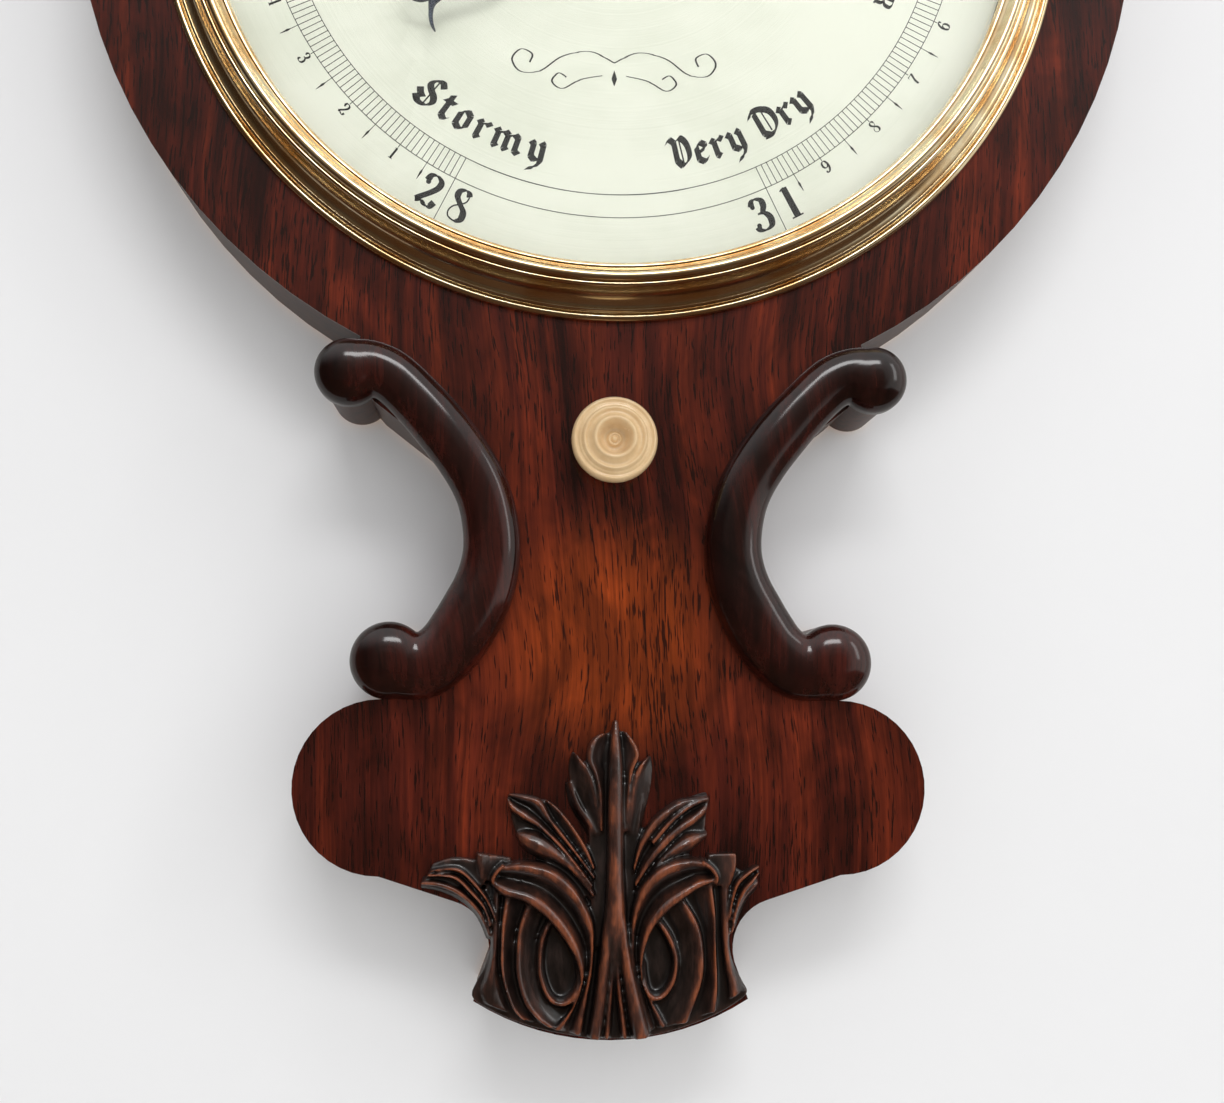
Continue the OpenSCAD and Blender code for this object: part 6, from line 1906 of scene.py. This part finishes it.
@dataclass(frozen=True)
class RoomPaint(Finish):
    """Flat paint of the room: even and matt, and shown in another shade by polished pieces.

    It only shows from its front, and lamps shine through it from behind.
    """

    title: str
    colour: str
    mirrored: str

    def paint(self, tree: Tree, skin: Node) -> None:
        """Builds the nodes of the surface.

        Args:
            tree: The material's node tree.
            skin: Its Principled shader.
        """
        spot = add(tree, "TexCoord", output="Object")
        cloud = add(tree, "TexNoise", {"Vector": spot, "Scale": 6.0, "Detail": 4.0})
        value = add(tree, "MapRange", {
            "Value": cloud, "From Min": 0.3, "From Max": 0.7, "To Min": 0.985, "To Max": 1.015})
        colour = add(tree, "HueSaturation", {"Color": linear(self.colour), "Value": value})
        rays = add(tree, "LightPath").node.outputs
        polish = add(tree, "Math", {0: rays["Is Glossy Ray"], 1: rays["Is Transmission Ray"]},
                     operation="SUBTRACT", use_clamp=True)
        seen = add(tree, "Mix", {0: polish, 6: colour, 7: linear(self.mirrored)}, data_type="RGBA")
        set_skin(tree, skin, Base_Color=seen, Roughness=0.9, Specular_IOR_Level=0.1)
        behind = add(tree, "NewGeometry", output="Backfacing")
        through = add(tree, "Math", {0: behind, 1: rays["Is Shadow Ray"]}, operation="MAXIMUM")
        clear = add(tree, "BsdfTransparent")
        show(tree, add(tree, "MixShader", {0: through, 1: skin.outputs[0], 2: clear}))


@dataclass(frozen=True)
class Lamp:
    """A soft box: where it hangs and what it points at, from the dial's centre, and its size, in metres."""

    name: str
    place: Triple
    at: Triple
    watts: float
    size: Place
    mirrored: bool = True

    def hang(self) -> None:
        """Hangs the soft box in the room."""
        light = bpy.data.lights.new(self.name, "AREA")
        light.shape = "RECTANGLE"
        light.size, light.size_y = self.size
        light.energy = self.watts
        lamp = bpy.data.objects.new(self.name, light)
        bpy.context.scene.collection.objects.link(lamp)
        lamp.location = Vector(self.place) + Vector((0, 0, DIAL_Z))
        lamp.rotation_euler = (Vector(self.at) - Vector(self.place)).to_track_quat("-Z", "Y").to_euler()
        lamp.visible_glossy = self.mirrored
        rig.stage(lamp)


@dataclass
class Studio:
    """A white wall with a floor below it, in a room that is bright above and at the right.

    Polished pieces mirror the room: its sides from left to right, and what lies behind the camera from
    the floor to the ceiling. The wall stands a little behind the case's back. The camera's place is in
    millimetres, with the ways that it looks and that its right hand points.
    """

    wall: RoomPaint = RoomPaint("wall paint", "#ebebec", "#b0aeac")
    wall_half: float = 2.2
    wall_place: Triple = (0.0, 0.0012, 0.2)
    floor: RoomPaint = RoomPaint("floor paint", "#e4e3df", "#4a3424")
    floor_half: float = 4.0
    floor_place: Triple = (0.0, 0.0, -1.25)
    lamps: tuple[Lamp, ...] = (
        Lamp("key", (0.15, -1.9, 1.45), (0, 0, -0.12), 17.0, (1.3, 0.45)),
        Lamp("fill", (0.8, -2.2, 0.3), (0, 0, -0.05), 17.0, (3.4, 2.6), mirrored=False),
        Lamp("window", (1.5, -1.1, 0.55), (0, 0, -0.1), 3.0, (0.3, 1.1)),
        Lamp("rear", (0.0, 2.2, 0.4), (0, 0, 0.1), 30.0, (2.0, 2.0)))
    air: str = "#c9c9ca"
    plain: str = "#e4e4e2"
    ceiling: str = "#ffffff"
    sides: Stops = (
        (0.0, "#33261c"), (0.35, "#45403b"), (0.6, "#8a8783"), (0.85, "#e2e0dc"), (1.0, "#f4f2ee"))
    facing: Stops = (
        (0.0, "#43352a"), (0.42, "#4a3e34"), (0.58, "#5a5047"), (0.8, "#b0aca6"), (1.0, "#ffffff"))
    eye: Triple = (-20.77, -384.46, -871.286)
    ahead: Triple = (0.05774, 0.99265, 0.10634)
    right: Triple = (0.99829, -0.05839, 0.00293)
    lens: float = 43.21

    def build(self) -> None:
        """Sets the wall, floor, sky, lamps and camera."""
        upright = Matrix.Rotation(math.pi / 2, 4, "X")
        self.sheet("wall", self.wall, self.wall_place, self.wall_half, upright)
        self.sheet("floor", self.floor, self.floor_place, self.floor_half, Matrix())
        self.sky()
        for lamp in self.lamps:
            lamp.hang()
        self.camera()
        bpy.context.scene.view_settings.view_transform = "Standard"

    def sheet(self, name: str, finish: Finish, place: Triple, half: float, turn: Matrix) -> None:
        """Sets one large plain surface.

        Args:
            name: The surface's name.
            finish: Its paint.
            place: Its middle, from the dial's centre, in metres.
            half: Half its width in metres.
            turn: How it is turned from lying flat.
        """
        bm = bmesh.new()
        bmesh.ops.create_grid(bm, x_segments=2, y_segments=2, size=half)
        stand = Matrix.Translation(Vector(place) + Vector((0, 0, DIAL_Z))) @ turn
        bmesh.ops.transform(bm, matrix=stand, verts=bm.verts)
        surface = into_scene(name, bm)
        surface.data.materials.append(finish.material())
        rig.stage(surface)

    def sky(self) -> None:
        """Lights the room evenly, shows it to polished pieces, and is plain and pale to the camera."""
        world = bpy.data.worlds.new("room")
        bpy.context.scene.world = world
        world.use_nodes = True
        tree = world.node_tree
        back = next(n for n in tree.nodes if n.type == "BACKGROUND")
        way = add(tree, "SeparateXYZ", {"Vector": add(tree, "TexCoord", output="Generated")}).node.outputs
        height = add(tree, "MapRange", {"Value": way["Z"], "From Min": -1.0})
        side = add(tree, "MapRange", {"Value": way["X"], "From Min": -1.0})
        level = add(tree, "ValToRGB", {"Fac": side}, stops=self.sides)
        rising = add(tree, "MapRange", {"Value": way["Z"], "From Min": 0.25, "From Max": 0.85},
                     interpolation_type="SMOOTHSTEP")
        around = add(tree, "Mix", {0: rising, 6: level, 7: linear(self.ceiling)}, data_type="RGBA")
        facing = add(tree, "ValToRGB", {"Fac": height}, stops=self.facing)
        ahead = add(tree, "MapRange", {"Value": way["Y"], "From Min": -0.8, "From Max": -0.93},
                    interpolation_type="SMOOTHSTEP")
        room = add(tree, "Mix", {0: ahead, 6: around, 7: facing}, data_type="RGBA")
        rays = add(tree, "LightPath").node.outputs
        soft = add(tree, "Mix", {0: rays["Is Diffuse Ray"], 6: room, 7: linear(self.air)}, data_type="RGBA")
        direct = add(tree, "Math", {0: rays["Is Camera Ray"], 1: rays["Is Transmission Ray"]},
                     operation="MAXIMUM")
        colour = add(tree, "Mix", {0: direct, 6: soft, 7: linear(self.plain)}, data_type="RGBA")
        feed(tree, back.inputs["Color"], colour)
        feed(tree, back.inputs["Strength"], 1.0)

    def camera(self) -> None:
        """Sets the camera where the picture was taken from."""
        lens = bpy.data.cameras.new("camera")
        lens.sensor_width = 36.0
        lens.lens = self.lens
        lens.clip_start = 0.01
        eye = bpy.data.objects.new("camera", lens)
        bpy.context.scene.collection.objects.link(eye)
        ahead, right = Vector(self.ahead), Vector(self.right)
        turn = Matrix((right, right.cross(ahead), -ahead)).transposed().to_4x4()
        eye.matrix_world = Matrix.Translation(Vector(self.eye) * MM) @ turn
        bpy.context.scene.camera = eye


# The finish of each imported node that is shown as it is.
DRESS: dict[Finish, tuple[str, ...]] = {
    CASE: ("case_body",),
    VENEER: ("front_veneer",),
    SILVER: ("dial_plate", "thermometer_scale"),
    GLASS: ("bezel_glass", "thermometer_glass", "siphon_tube", "thermometer_tube", "guide_tube"),
    BLUED: ("set_hand",),
    STEEL: (
        "indicator_arbor", "set_hand_pipe", "knob_spindle", "dial_screws", "bridge_screws", "cover_screws",
        "hanging_screws", "turn_button_screw", "bezel_hinge_screws", "counterweight", "float_weight"),
    FITTING_BRASS: (
        "glass_retainer", "bezel_hinge_fixed", "bezel_hinge_moving", "bezel_hinge_pin", "hand_collet",
        "thread_pulley", "set_hand_pulley", "knob_pulley", "knob_bush", "pipe_bush", "arbor_bridge",
        "door_hinge_fixed", "door_hinge_moving", "door_hinge_pins", "turn_button", "hanging_plate"),
    PINE: ("lower_cover", "neck_cover", "back_door", "bend_rest"),
    CORK: ("lower_corks", "neck_corks"),
    QUICKSILVER: ("thermometer_mercury",),
    FRAME_WOOD: ("thermometer_frame",),
}


def dress_nodes() -> None:
    """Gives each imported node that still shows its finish."""
    for finish, nodes in DRESS.items():
        for node in nodes:
            mesh = frame["nodes"][node].data
            mesh.materials.clear()
            mesh.materials.append(finish.material())
            LOG.info("%s: %s", node, finish.title)


def write_size() -> None:
    """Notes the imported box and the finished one."""
    low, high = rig.bounds()
    text = json.dumps({"cad": [list(CAD_BOX[0]), list(CAD_BOX[1])], "final": [list(low), list(high)]})
    Path("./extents.json").write_text(text)


def main() -> None:
    """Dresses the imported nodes, builds the pieces that stand for the rest and sets the studio."""
    logging.basicConfig(level=logging.INFO, format="%(name)s %(message)s")
    dress_nodes()
    for assembly in (Scroll(), Leaf(), Knob(), Bezel(), Dial(), IndicatorHand(), Thermometer(), Cordage(),
                     Mercury(), Studio()):
        assembly.build()
    write_size()


if __name__ == "__main__":
    main()
